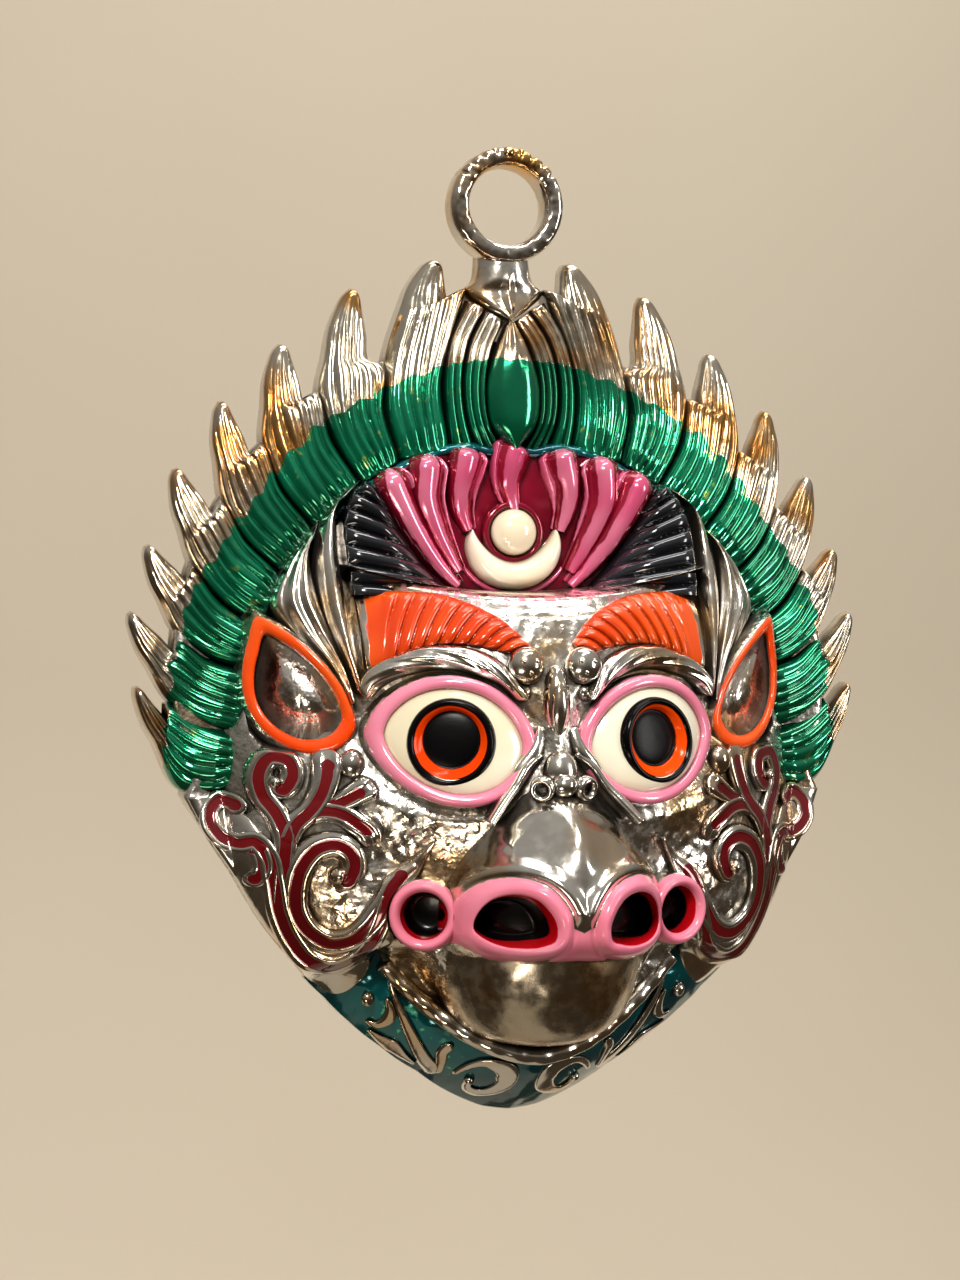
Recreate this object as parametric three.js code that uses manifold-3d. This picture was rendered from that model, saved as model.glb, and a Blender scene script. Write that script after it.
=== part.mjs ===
import * as THREE from 'three';
import { mergeVertices } from 'three/addons/utils/BufferGeometryUtils.js';
import Module from 'manifold-3d';

const wasm = await Module();
wasm.setup();

// A hanging relief mask of an animal protector, cast in one piece of white metal with a hollow back.
// Millimetres, +Z up, the face looks along -Y and the back rim lies on the wall plane y = 0.
// The origin is on that plane at the inner top of the ring's hole, where the mask hangs.
// Inside this file a point is [x, z, lift], and its lift is its height off the wall.

// Hanging ring and its stem
const ringHole = 7.7;
const ringOuter = 11.6;
const ringBack = 1;
const ringFront = 9.4;
const stemFoot = -31;

// Crown of flame locks: the inner rim, the notches and the tips lie on three half ellipses
const innerRim = { x: 53.5, z: 52, middle: -108 };
const notches = { x: 67.5, z: 66.5, middle: -100 };
const tips = { x: 75, z: 82, middle: -100 };
const locksPerSide = 8;
// Lotus bud over the fan: where it stands and closes, and how far its folded petals reach to the side
const budFoot = -56;
const budTop = -29.5;
const budReach = 8;
const budStep = 4.4;
const crownEnd = 108.5;
const rimLift = 13;
const notchLift = 8.5;
const tipLift = 4;

// Face dome, forehead ledge and cheeks
const domeMiddle = -122;
const domeWidth = 58;
const domeUp = 66;
const domeDown = 64;
const domeRise = 36;
const domeTop = 45.5;
// Lift of the front edge at a height: close to the wall at the crown, and off it beside the jaw
const edgeLift = [
  [-187, 9], [-178, 12], [-168, 14], [-158, 15.2], [-138, 15], [-124, 10.5], [-110, 9.5], [-70, 5.5],
];
const ledge = { height: -85, bend: 0.004, halfWidth: 34 };
const fanLift = 10.5;
const fanRecessFront = 60;

// Lower edge of the mask, from the shoulder to the collar's lowest point
const lowerEdge = [
  [65.1, -124], [60.6, -133], [57.3, -138], [51.5, -148], [43.8, -157.6], [38.6, -162.9],
  [33.4, -168], [27.2, -173], [19.4, -178.4], [10.6, -183.6], [0, -187],
];
// The back edge beside the jaw lies this far inside the front edge
const edgeTuck = 3;

// Eyes, ears and brows
const eye = { x: 19, z: -112.8, halfWidth: 15, halfHeight: 11.9, lift: 40.5, sweep: -0.34, lean: -0.2 };
const iris = { x: 20.4, z: -112.8, radius: 7.7 };
const ear = { x: 45.5, z: -104, lift: 23.5, sweep: -0.8 };
const earOutline = [
  [52, -89.3], [54.6, -98], [54, -106], [49.5, -113], [43, -115.3], [35.6, -111.5], [37.8, -103], [43.5, -95],
];

// Muzzle, nostrils, side openings and chin
const muzzleRoot = 34;
const muzzleSlices = [
  [-113, 4, 41], [-119, 9, 46.5], [-125, 14, 53], [-131, 18, 58.5],
  [-137, 20.6, 61], [-143, 22, 62], [-148, 22.4, 61.5], [-151.5, 20, 58], [-153.5, 15, 50],
];
const nostril = { x: 11.6, z: -144.6, halfWidth: 7, halfHeight: 4.8, turn: -0.18, depth: 9 };
const sideHole = { x: 25, z: -145.2, lift: 40, radius: 4.6, rim: 1.6, turnOut: 0.45, depth: 8 };
const chin = { z: -157.5, lift: 31, x: 21, height: 12, depth: 16 };

// Casting
const wall = 3.6;
const backRim = 6;
const muzzleHollow = { x: 0, z: -138, lift: 32, width: 13, height: 13, depth: 17 };
const sunk = 3;
const shortestEdge = 0.5;
const thinnestFace = 0.03;

const degrees = Math.PI / 180;
const lerp = (a, b, t) => a + (b - a) * t;
const clamp = (value, low, high) => Math.min(high, Math.max(low, value));
const ease = (from, to, value) => {
  const t = clamp((value - from) / (to - from), 0, 1);
  return t * t * (3 - 2 * t);
};
const steps = (count) => Array.from({ length: count + 1 }, (unused, i) => i / count);
const around = (count) => Array.from({ length: count }, (unused, i) => (i * 2 * Math.PI) / count);
const spline = (points) => {
  const curve = new THREE.CatmullRomCurve3(points.map(([x, z, lift = 0]) => new THREE.Vector3(x, z, lift)));
  return (t) => curve.getPoint(t).toArray();
};

// A point of one of the crown's ellipses, at an angle in degrees from the top.
const onEllipse = (ellipse, angle) => [
  ellipse.x * Math.sin(angle * degrees),
  ellipse.middle + ellipse.z * Math.cos(angle * degrees),
];
// Angle of the groove before lock k, and of the tip of lock k, counted from the top centre.
const grooveAngle = (k) => (k === locksPerSide ? crownEnd : 11 + 12.5 * k - 0.13 * k * k);
const tipAngle = (k) => 10.5 + 13.2 * k - 0.22 * k * k;

// Lift of the edge: straight lines between the heights in its table.
function edgeAt(z) {
  const next = clamp(edgeLift.findIndex(([height]) => height > z), 1, edgeLift.length - 1);
  const last = z >= edgeLift.at(-1)[0] ? edgeLift.length - 1 : next;
  const [[z0, lift0], [z1, lift1]] = [edgeLift[last - 1], edgeLift[last]];
  return lerp(lift0, lift1, clamp((z - z0) / (z1 - z0), 0, 1));
}
// How far the back edge is tucked in: not at the crown, and not at the collar's lowest point.
const tuckAt = (x, z) => edgeTuck * ease(-124, -140, z) * ease(2, 22, Math.abs(x));
// Lift of the face: a blunt half ellipsoid standing on the edge.
function domeLift(x, z) {
  const up = z > domeMiddle ? domeUp : domeDown;
  const share = 1 - (x / domeWidth) ** 2 - ((z - domeMiddle) / up) ** 2;
  const edge = edgeAt(z);
  return edge + Math.min(domeRise, domeTop - edge) * Math.max(0, share) ** 0.9;
}
const ledgeHeight = (x) => ledge.height + ledge.bend * x * x;
// Lift of the face with the fan's recess above the forehead ledge.
function faceLift(x, z) {
  const dome = domeLift(x, z);
  return z > ledgeHeight(x) ? Math.min(dome, fanLift + 0.1 * Math.abs(x)) : dome;
}
// Lift of the plane an eye or ear lies in.
const onPlane = ({ x, z, lift, sweep, lean = 0 }) => (px, pz) => lift + sweep * (px - x) + lean * (pz - z);

// Rings of points, all with the same count, joined into a closed skin with a fan over each end.
function loft(rings) {
  const count = rings[0].length;
  const points = rings.flat();
  const faces = [];
  for (let i = 0; i + 1 < rings.length; i++) {
    for (let j = 0; j < count; j++) {
      const a = i * count + j;
      const b = i * count + ((j + 1) % count);
      faces.push(a, b, a + count, b, b + count, a + count);
    }
  }
  [[0, 1], [rings.length - 1, -1]].forEach(([ring, side]) => {
    const middle = points.length;
    points.push([0, 1, 2].map((axis) => rings[ring].reduce((sum, point) => sum + point[axis], 0) / count));
    for (let j = 0; j < count; j++) {
      const pair = [ring * count + j, ring * count + ((j + 1) % count)];
      faces.push(middle, ...(side > 0 ? pair.reverse() : pair));
    }
  });
  return solid(points, faces);
}

// A closed skin as a solid: shared points merged, faces without area dropped, turned to face outwards.
function solid(points, faces) {
  const skin = new THREE.BufferGeometry();
  const placed = points.flatMap(([x, z, lift]) => [x, -lift, z]);
  skin.setAttribute('position', new THREE.Float32BufferAttribute(placed, 3));
  skin.setIndex(faces);
  const merged = mergeVertices(skin, 1e-4);
  const positions = merged.getAttribute('position').array;
  const triangles = [];
  const [a, b, c] = [new THREE.Vector3(), new THREE.Vector3(), new THREE.Vector3()];
  let volume = 0;
  for (let i = 0; i < merged.index.count; i += 3) {
    const [p, q, r] = merged.index.array.slice(i, i + 3);
    if (p !== q && q !== r && r !== p) {
      triangles.push(p, q, r);
      b.fromArray(positions, 3 * q).cross(c.fromArray(positions, 3 * r));
      volume += a.fromArray(positions, 3 * p).dot(b);
    }
  }
  if (volume < 0) triangles.reverse();
  return new wasm.Manifold(new wasm.Mesh({
    numProp: 3,
    vertProperties: new Float32Array(positions),
    triVerts: new Uint32Array(triangles),
  }));
}

const joined = (solids) => solids.reduce((sum, next) => sum.add(next));

// A piece made for the right side, and the same piece mirrored for the left.
function bothSides(make) {
  return [make((points) => points), make((points) => points.map(([x, ...rest]) => [-x, ...rest]))];
}

// A raised rib laid on the face along a path: at each station a rounded section runs across it, sunk below.
function rib({
  path, width, rise, ground = faceLift, stations = 4, across = 2, flutes = 0, foot = null, mirror = (p) => p,
}) {
  const rings = steps(stations).map((t) => {
    const [x, z] = path(t);
    const [x0, z0] = path(Math.max(0, t - 0.01));
    const [x1, z1] = path(Math.min(1, t + 0.01));
    const length = Math.hypot(x1 - x0, z1 - z0);
    const side = [(z0 - z1) / length, (x1 - x0) / length];
    const ring = steps(across).map((u) => {
      const s = 2 * u - 1;
      const px = x + side[0] * width(t) * s;
      const pz = z + side[1] * width(t) * s;
      const crown = 0.45 + 0.55 * Math.sqrt(Math.max(0, 1 - s * s));
      const groove = flutes && Math.abs(s) < 1 ? 0.2 * Math.cos(s * flutes * Math.PI) : 0;
      return [px, pz, ground(px, pz, t) + rise(t) * (crown + groove)];
    });
    const low = (px, pz) => foot ?? Math.max(0, ground(px, pz, t) - sunk);
    const under = [ring[across], ring[0]].map(([px, pz]) => [px, pz, low(px, pz)]);
    return mirror([...ring, ...under]);
  });
  return loft(rings);
}

// A mound around a centre: each level is a ring, part outline and part circle, at a rise over the plane.
function mound({ outline, centre, levels, ground, spokes = 14, mirror = (p) => p }) {
  return loft(levels.map(({ size = 1, radius = 0, rise }) => mirror(around(spokes).map((angle) => {
    const [ox, oz] = outline(angle);
    const x = radius ? centre[0] + radius * Math.cos(angle) : centre[0] + (ox - centre[0]) * size;
    const z = radius ? centre[1] + radius * Math.sin(angle) : centre[1] + (oz - centre[1]) * size;
    return [x, z, ground(x, z) + rise];
  }))));
}

// A closed round bar along a loop of points.
function hoop({ loop, radius, count = 12, sides = 5, mirror = (p) => p }) {
  const points = [];
  const faces = [];
  around(count).forEach((angle, i) => {
    const here = new THREE.Vector3(...loop(angle));
    const ahead = new THREE.Vector3(...loop(angle + 0.01)).sub(here).normalize();
    const out = new THREE.Vector3(0, 0, 1).cross(ahead).normalize();
    const up = new THREE.Vector3().crossVectors(ahead, out);
    const section = around(sides).map((turn) => here.clone()
      .addScaledVector(out, radius * Math.cos(turn))
      .addScaledVector(up, radius * Math.sin(turn)).toArray());
    points.push(...mirror(section));
    for (let j = 0; j < sides; j++) {
      const next = ((i + 1) % count) * sides;
      const k = (j + 1) % sides;
      faces.push(i * sides + j, i * sides + k, next + j, i * sides + k, next + k, next + j);
    }
  });
  return solid(points, faces);
}

// An ellipsoid around a centre, as slices along its lift.
function ball({ x, z, lift, width, height, depth, spokes = 10, slices = 5, mirror = (p) => p }) {
  return loft(steps(slices).map((t) => mirror(around(spokes).map((angle) => [
    x + width * Math.sin(t * Math.PI) * Math.cos(angle),
    z + height * Math.sin(t * Math.PI) * Math.sin(angle),
    lift + depth * Math.cos(t * Math.PI),
  ]))));
}

// Outline of the plate behind everything: the notch ellipse over the crown, then the lower edge.
function plateOutline(crownSteps, lowerSteps) {
  const crown = steps(crownSteps).map((t) => onEllipse(notches, crownEnd * t));
  const lower = spline(lowerEdge);
  const half = [...crown, ...steps(lowerSteps).slice(1).map((t) => lower(t))];
  const left = half.slice(1, -1).reverse().map(([x, z]) => [-x, z]);
  return [...half, ...left];
}

// The plate with the domed face: rings shrink from the outline to the face's middle.
function faceShell() {
  const outline = plateOutline(11, 8);
  const middle = [0, -118];
  const ringAt = (size, lift) => outline.map(([x, z]) => {
    const px = middle[0] + (x - middle[0]) * size;
    const pz = middle[1] + (z - middle[1]) * size;
    return [px, pz, lift(px, pz)];
  });
  const front = [1, 0.94, 0.85, 0.74, 0.6, 0.42, 0.2].map((size) => ringAt(size, domeLift));
  front[0] = ringAt(1, (x, z) => edgeAt(z) - 2);
  const back = outline.map(([x, z]) => {
    const away = Math.hypot(x, z - middle[1]);
    const scale = 1 - tuckAt(x, z) / away;
    return [x * scale, middle[1] + (z - middle[1]) * scale, 0];
  });
  return loft([back, ...front]);
}

// The recess for the fan: what stands in front of the fan's floor above the forehead ledge.
function fanRecess() {
  const slices = steps(8).map((t) => lerp(-ledge.halfWidth, ledge.halfWidth, t)).map((x) => {
    const angle = Math.asin(Math.abs(x) / innerRim.x) / degrees;
    const top = onEllipse(innerRim, angle)[1] - 1;
    const floor = fanLift + 0.1 * Math.abs(x);
    const low = ledgeHeight(x);
    return [[x, low, floor + 1], [x, low + 2, floor], [x, top, floor], [x, top, fanRecessFront],
      [x, low, fanRecessFront]];
  });
  return loft(slices);
}

// Path of a flame lock: from the inner rim over the notch ellipse, and up to its tip.
function lockPath(k) {
  const middle = (grooveAngle(k) + grooveAngle(k + 1)) / 2;
  const root = onEllipse(innerRim, middle);
  const neck = onEllipse(notches, middle);
  const tip = onEllipse(tips, tipAngle(k));
  const bow = [lerp(neck[0], tip[0], 0.5) + 1.2, lerp(neck[1], tip[1], 0.5) - 1.2];
  return spline([root, [lerp(root[0], neck[0], 0.55), lerp(root[1], neck[1], 0.55)], neck, bow, tip]);
}

// One lock of the crown: fluted and full at the root, then a free horn that curves up to a point.
function flameLock(k, mirror) {
  const chord = (ellipse) => {
    const [a, b] = [onEllipse(ellipse, grooveAngle(k)), onEllipse(ellipse, grooveAngle(k + 1))];
    return Math.hypot(a[0] - b[0], a[1] - b[1]) / 2;
  };
  const [rootWidth, neckWidth] = [chord(innerRim), chord(notches)];
  const neckAt = 0.5;
  const width = (t) => (t < neckAt
    ? lerp(rootWidth, neckWidth * 0.88, t / neckAt)
    : Math.max(0.5, neckWidth * 0.88 * (1 - (t - neckAt) / (1 - neckAt)) ** 0.75));
  const spine = (t) => (t < neckAt
    ? lerp(rimLift, notchLift, t / neckAt)
    : lerp(notchLift, tipLift, (t - neckAt) / (1 - neckAt)));
  const rise = (t) => 2.6 * clamp(width(t) / 4, 0.3, 1) * ease(-0.15, 0.12, t);
  return rib({
    path: lockPath(k),
    width,
    rise,
    ground: (x, z, t) => spine(t) - rise(t),
    stations: 5,
    across: 4,
    flutes: 2,
    foot: 0,
    mirror,
  });
}

// Lotus bud under the ring, with nested petals on each side that close over it.
function bud() {
  const width = (t) => 0.4 + 5 * Math.sin(Math.PI * clamp(0.28 + 0.72 * t, 0, 1)) ** 0.8;
  return rib({
    path: (t) => [0, lerp(budFoot, budTop, t)],
    width,
    rise: () => 3,
    ground: (x, z, t) => lerp(10.5, 6, t),
    stations: 6,
    across: 4,
  });
}
function budPetal(n, mirror) {
  const reach = budReach + budStep * n;
  const path = spline([
    [reach - 1.5, budFoot - 1 + n], [reach, -47], [reach - 0.8, -40], [reach - 4.5, -32], [3.5, budTop + 2.5],
  ]);
  return rib({
    path,
    width: (t) => lerp(2.9, 1.2, t),
    rise: () => 2.4 - 0.3 * n,
    ground: (x, z, t) => lerp(10.5, 6.5, t) - n,
    mirror,
  });
}

// Ring with a cylindrical hole and a rounded wall, and the stem that flares down to a leaf point.
function hangingRing() {
  const wallShape = [[ringHole, ringBack], [ringHole, ringFront - 0.6], [ringHole + 1.4, ringFront],
    [ringOuter, ringFront - 2.6], [ringOuter, ringBack]];
  const shape = [...wallShape, wallShape[0]].map(([radius, lift]) => new THREE.Vector2(radius, lift));
  const turned = new THREE.LatheGeometry(shape, 22);
  const at = turned.getAttribute('position');
  const ringPoint = (i) => [at.getX(i), at.getZ(i) - ringHole, at.getY(i)];
  const points = Array.from({ length: at.count }, (unused, i) => ringPoint(i));
  return solid(points, Array.from(turned.index.array));
}
function stem() {
  return rib({
    path: (t) => [0, lerp(-17, stemFoot, t)],
    width: (t) => (t < 0.6 ? lerp(5.4, 8, ease(0, 0.6, t)) : lerp(8, 0.6, (t - 0.6) / 0.4)),
    rise: (t) => lerp(4, 2.4, t),
    ground: (x, z, t) => lerp(3.4, 7, t),
    stations: 6,
  });
}

// One petal of the fan: it stands under the inner rim and flows in to the crescent.
function fanPetal(n, mirror) {
  const top = [8.2 * n, -55.4 - 0.5 * n * n];
  const waist = [7.2 * n, -65 - 0.9 * n];
  const foot = n ? [2 + 2.6 * n, lerp(-76, -83.5, n / 3)] : [0, -69];
  const path = spline([top, waist, [lerp(waist[0], foot[0], 0.55), lerp(waist[1], foot[1], 0.6)], foot]);
  return rib({
    path,
    width: (t) => 0.6 + 3.3 * Math.sin(Math.PI * (0.12 + 0.8 * t)) ** 0.7,
    rise: (t) => 3.6 * (1 - 0.5 * t),
    stations: 4,
    mirror,
  });
}
function crescent() {
  const arc = (t) => {
    const angle = lerp(205, 335, t) * degrees;
    return [9.2 * Math.cos(angle), -72.7 + 9.4 * Math.sin(angle)];
  };
  return rib({
    path: arc,
    width: (t) => 0.3 + 2.7 * Math.sin(Math.PI * t) ** 0.7,
    rise: () => 2.6,
    ground: () => fanLift,
    stations: 8,
  });
}

// Ribbed horn beside the fan: a sloping bank with ribs one above the other.
function horn(mirror) {
  const ribs = 6;
  return rib({
    path: spline([[26, -85.5], [28.6, -78], [29.8, -70], [29, -63.5]]),
    width: (t) => lerp(8.2, 2.2, t ** 1.2),
    rise: (t) => 3 + 0.8 * Math.cos(t * ribs * 2 * Math.PI),
    ground: (x, z) => lerp(12, 22, ease(-62, -86, z)) + 0.25 * (x - 30) - 2,
    stations: 2 * ribs,
    mirror,
  });
}

// Brow of short ribs side by side, from the temple to its inner point.
function brow(mirror) {
  const ribs = 8;
  return rib({
    path: spline([[35, -92.5], [28, -90], [20.5, -89.8], [12.5, -91.5], [5.2, -94.5]]),
    width: (t) => lerp(7, 1.6, t ** 1.4),
    rise: (t) => 3.4 + 0.7 * Math.cos(t * ribs * 2 * Math.PI),
    ground: (x, z) => domeLift(x, z) - 0.6,
    stations: 2 * ribs,
    mirror,
  });
}
function lidRidge(mirror) {
  return rib({
    path: spline([[34, -104], [27, -98.8], [20, -97.4], [13.3, -98.4], [9, -100.8], [6.4, -104.5]]),
    width: () => 1.9,
    rise: () => 2.6,
    stations: 6,
    mirror,
  });
}
const browKnot = (mirror) => ball({
  x: 5.4, z: -98.2, lift: 37.5, width: 3.1, height: 3.1, depth: 3.6, mirror,
});

// Bulging almond eye: a raised lid rim, the white, and a dished iris and pupil.
function eyeball(mirror) {
  const outline = (angle) => [
    eye.x + eye.halfWidth * Math.cos(angle),
    eye.z + eye.halfHeight * Math.sign(Math.sin(angle)) * Math.abs(Math.sin(angle)) ** 1.3,
  ];
  const levels = [
    { rise: -14 }, { rise: 0.8 }, { size: 0.92, rise: 1.8 }, { size: 0.82, rise: 0.6 },
    { radius: iris.radius, rise: 2.8 }, { radius: 6.2, rise: 2.6 }, { radius: 4.9, rise: 0.6 },
  ];
  return mound({ outline, centre: [iris.x, iris.z], levels, ground: onPlane(eye), mirror });
}

// Pointed ear: a rim around a hollow dish, turned out to the side.
function earShell(mirror) {
  const edge = spline([...earOutline, earOutline[0]]);
  const outline = (angle) => edge(angle / (2 * Math.PI));
  const levels = [
    { rise: -9 }, { rise: 0 }, { size: 0.93, rise: 1.3 }, { size: 0.8, rise: 1 }, { size: 0.7, rise: -0.8 },
    { size: 0.3, rise: -2.6 },
  ];
  return mound({ outline, centre: [ear.x, ear.z], levels, ground: onPlane(ear), mirror });
}

// Locks of hair at the temple, between the horn, the ear and the crown.
function templeLock(n, mirror) {
  const lines = [
    [[34, -66], [42, -76], [42.5, -86], [36.5, -99]],
    [[40, -74], [47.5, -83], [46, -90], [40.5, -98]],
    [[30, -63.5], [36.5, -72], [37.5, -84], [35.5, -96]],
  ];
  return rib({
    path: spline(lines[n]),
    width: (t) => 0.8 + 2.6 * Math.sin(Math.PI * (0.1 + 0.75 * t)),
    rise: () => 3.2,
    ground: domeLift,
    mirror,
  });
}

// Bridge of the nose between the eyes, and the small nose on it.
function bridge() {
  return [
    rib({
      path: (t) => [0, lerp(-97, -113, t)],
      width: (t) => lerp(2.2, 3, t),
      rise: () => 3,
      ground: (x, z) => domeLift(x, z) - 1.6,
      stations: 4,
    }),
    ball({ x: 0, z: -119.6, lift: 42.5, width: 5, height: 3.6, depth: 5 }),
  ];
}

// Front lift of the muzzle at a point, from its slices.
function muzzleAt(z) {
  const last = muzzleSlices.length - 1;
  const i = clamp(muzzleSlices.findIndex(([level]) => level <= z), 1, last);
  const [upper, lower] = [muzzleSlices[i - 1], muzzleSlices[i]];
  const t = clamp((z - upper[0]) / (lower[0] - upper[0]), 0, 1);
  return { width: lerp(upper[1], lower[1], t), front: lerp(upper[2], lower[2], t) };
}
function muzzleLift(x, z) {
  const { width, front } = muzzleAt(z);
  return muzzleRoot + (front - muzzleRoot) * Math.max(0, 1 - Math.abs(x / width) ** 2.3) ** 0.5;
}
function muzzle() {
  return loft(muzzleSlices.map(([z, width, front]) => around(14).map((angle) => [
    width * Math.cos(angle),
    z,
    muzzleRoot + (front - muzzleRoot) * Math.sign(Math.sin(angle)) * Math.abs(Math.sin(angle)) ** 0.85,
  ])));
}
const chinBall = () => ball({
  x: 0,
  z: chin.z,
  lift: chin.lift,
  width: chin.x,
  height: chin.height,
  depth: chin.depth,
  spokes: 16,
  slices: 6,
});

// Point of the nostril's edge, scaled, with the muzzle's lift.
const nostrilEdge = (size) => (angle) => {
  const along = nostril.halfWidth * size * Math.cos(angle);
  const x = nostril.x + along;
  const z = nostril.z + nostril.turn * along + nostril.halfHeight * size * Math.sin(angle);
  return [x, z, muzzleLift(x, z)];
};
const nostrilRim = (mirror) => hoop({ loop: nostrilEdge(1.16), radius: 1.5, mirror });
function nostrilPocket(mirror) {
  const levels = [[1.1, 6], [0.98, 0.5], [0.9, -3], [0.7, -6], [0.45, -nostril.depth]];
  return loft(levels.map(([size, out]) => mirror(around(12).map((angle) => {
    const [x, z] = nostrilEdge(size)(angle);
    return [x, z, muzzleLift(nostril.x, nostril.z) + out - 0.28 * (x - nostril.x)];
  }))));
}

// Round opening beside the muzzle, on a short neck turned out to the side.
function sideRing(size, out) {
  const [cos, sin] = [Math.cos(sideHole.turnOut), Math.sin(sideHole.turnOut)];
  return (angle) => {
    const across = sideHole.radius * size * 0.9 * Math.cos(angle);
    return [
      sideHole.x + across * cos + out * sin,
      sideHole.z + sideHole.radius * size * 1.1 * Math.sin(angle),
      sideHole.lift - across * sin + out * cos,
    ];
  };
}
const sideNeck = (mirror) => loft([[1.5, -14], [1.5, -1], [1.35, 0.6], [0.4, 0.6]]
  .map(([size, out]) => mirror(around(12).map(sideRing(size, out)))));
const sideRim = (mirror) => hoop({ loop: sideRing(1.25, 0.6), radius: sideHole.rim, mirror });
const sidePocket = (mirror) => loft([[1, 6], [1, 0], [0.8, -sideHole.depth]]
  .map(([size, out]) => mirror(around(12).map(sideRing(size, out)))));

// Scrolls of the cheek, each a raised band: the lobe's edge, the great spiral and the branch above it.
function cheekScrolls(mirror) {
  const bands = [
    { line: [[59.6, -129.5], [60.2, -126.8], [57.6, -125.4], [55.4, -128.4], [51.6, -131.4], [50, -139.6],
      [46.2, -150], [40.4, -156.6], [34, -153.5], [29, -141], [24, -133.5]],
      width: 3, rise: 2.6, stations: 10 },
    { line: [[39, -139.6], [37.2, -137], [40.6, -132.8], [45.4, -136], [46.4, -143], [42, -151], [36, -149.6],
      [31.6, -142.5]], width: 2.5, rise: 3, stations: 9 },
    { line: [[49.4, -143], [48.6, -133], [50.6, -124.6], [51.6, -118.4], [48, -116.4], [47.6, -120.6]],
      width: 2.2, rise: 2.6, stations: 6 },
    { line: [[48.4, -132], [44.8, -126.8], [40.4, -124.5], [35, -128]], width: 2.4, rise: 2.4, stations: 3 },
    { line: [[44, -126.5], [41.6, -122.5], [41, -117.5]], width: 2.2, rise: 2.4, stations: 2 },
  ];
  return bands.map(({ line, width, rise, stations }) => rib({
    path: spline(line),
    width: (t) => width * (0.75 + 0.25 * Math.sin(Math.PI * t)),
    rise: () => rise,
    ground: (x, z) => domeLift(x, z) + 0.6,
    stations,
    mirror,
  }));
}

// Raised lip of the collar, around the chin from side to side, and its leaf scrolls.
function collarLip() {
  return rib({
    path: spline([[-30, -155], [-19, -165], [0, -173.5], [19, -165], [30, -155]]),
    width: () => 2.3,
    rise: (t) => 3 + 4 * Math.sin(Math.PI * t),
    ground: domeLift,
    stations: 10,
  });
}
function collarScrolls(mirror) {
  const lines = [
    [[1.5, -181.5], [4, -183], [9.6, -181.8], [12.8, -179], [11, -176.2], [8.2, -178.2]],
    [[28.4, -158.5], [25.5, -167], [18, -177.5]],
    [[33.5, -160], [33.4, -166.5], [28, -170]],
  ];
  return lines.map((line) => rib({
    path: spline(line),
    width: (t) => 1.3 + 0.4 * Math.sin(Math.PI * t),
    rise: () => 1.5,
    ground: (x, z) => domeLift(x, z),
    stations: 5,
    mirror,
  }));
}

// Inside of the casting: the face again, one wall further back, within the back rim.
function hollowBack() {
  const outline = plateOutline(7, 5);
  const middle = [0, -118];
  const reach = 7;
  const inside = (x, z) => Math.min(...[[0, 0], [reach, 0], [-reach, 0], [0, reach], [0, -reach]]
    .map(([dx, dz]) => faceLift(x + dx, z + dz))) - wall;
  const ringAt = (size, lift) => outline.map(([x, z]) => {
    const away = Math.hypot(x, z - middle[1]);
    const scale = ((away - backRim - tuckAt(x, z)) / away) * size;
    const px = x * scale;
    const pz = middle[1] + (z - middle[1]) * scale;
    return [px, pz, lift(px, pz)];
  });
  const sizes = [0.86, 0.68, 0.5, 0.4, 0.24];
  return loft([
    ringAt(1, () => -1),
    ringAt(1, () => 0.5),
    ...sizes.map((size) => ringAt(size, (x, z) => Math.max(1.5, inside(x, z)))),
  ]);
}

const crownLocks = () => Array.from(
  { length: locksPerSide },
  (unused, k) => bothSides((mirror) => flameLock(k, mirror)),
).flat();

function maskSolid() {
  const metal = joined([
    faceShell().subtract(fanRecess()),
    ...crownLocks(),
    bud(),
    ...bothSides((mirror) => budPetal(0, mirror)),
    ...bothSides((mirror) => budPetal(1, mirror)),
    hangingRing(),
    stem(),
    fanPetal(0),
    ...[1, 2, 3].flatMap((n) => bothSides((mirror) => fanPetal(n, mirror))),
    ball({ x: 0, z: -72.7, lift: fanLift + 1, width: 4.7, height: 4.7, depth: 4 }),
    crescent(),
    ...bothSides(horn),
    ...bothSides(brow),
    ...bothSides(lidRidge),
    ...bothSides(browKnot),
    ...bothSides(eyeball),
    ...bothSides(earShell),
    ...[0, 1, 2].flatMap((n) => bothSides((mirror) => templeLock(n, mirror))),
    ...bridge(),
    muzzle(),
    chinBall(),
    ...bothSides(sideNeck),
    ...bothSides(sideRim),
    ...bothSides(cheekScrolls).flat(),
    collarLip(),
    ...bothSides(collarScrolls).flat(),
  ]);
  const pockets = [...bothSides(nostrilPocket), ...bothSides(sidePocket)];
  const hollows = joined([hollowBack(), ball(muzzleHollow), ...pockets]);
  return joined([metal.subtract(hollows), ...bothSides(nostrilRim)]);
}

const castMetal = new THREE.MeshStandardMaterial({ color: 0xc9c5bb, roughness: 0.24, metalness: 1 });

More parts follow.
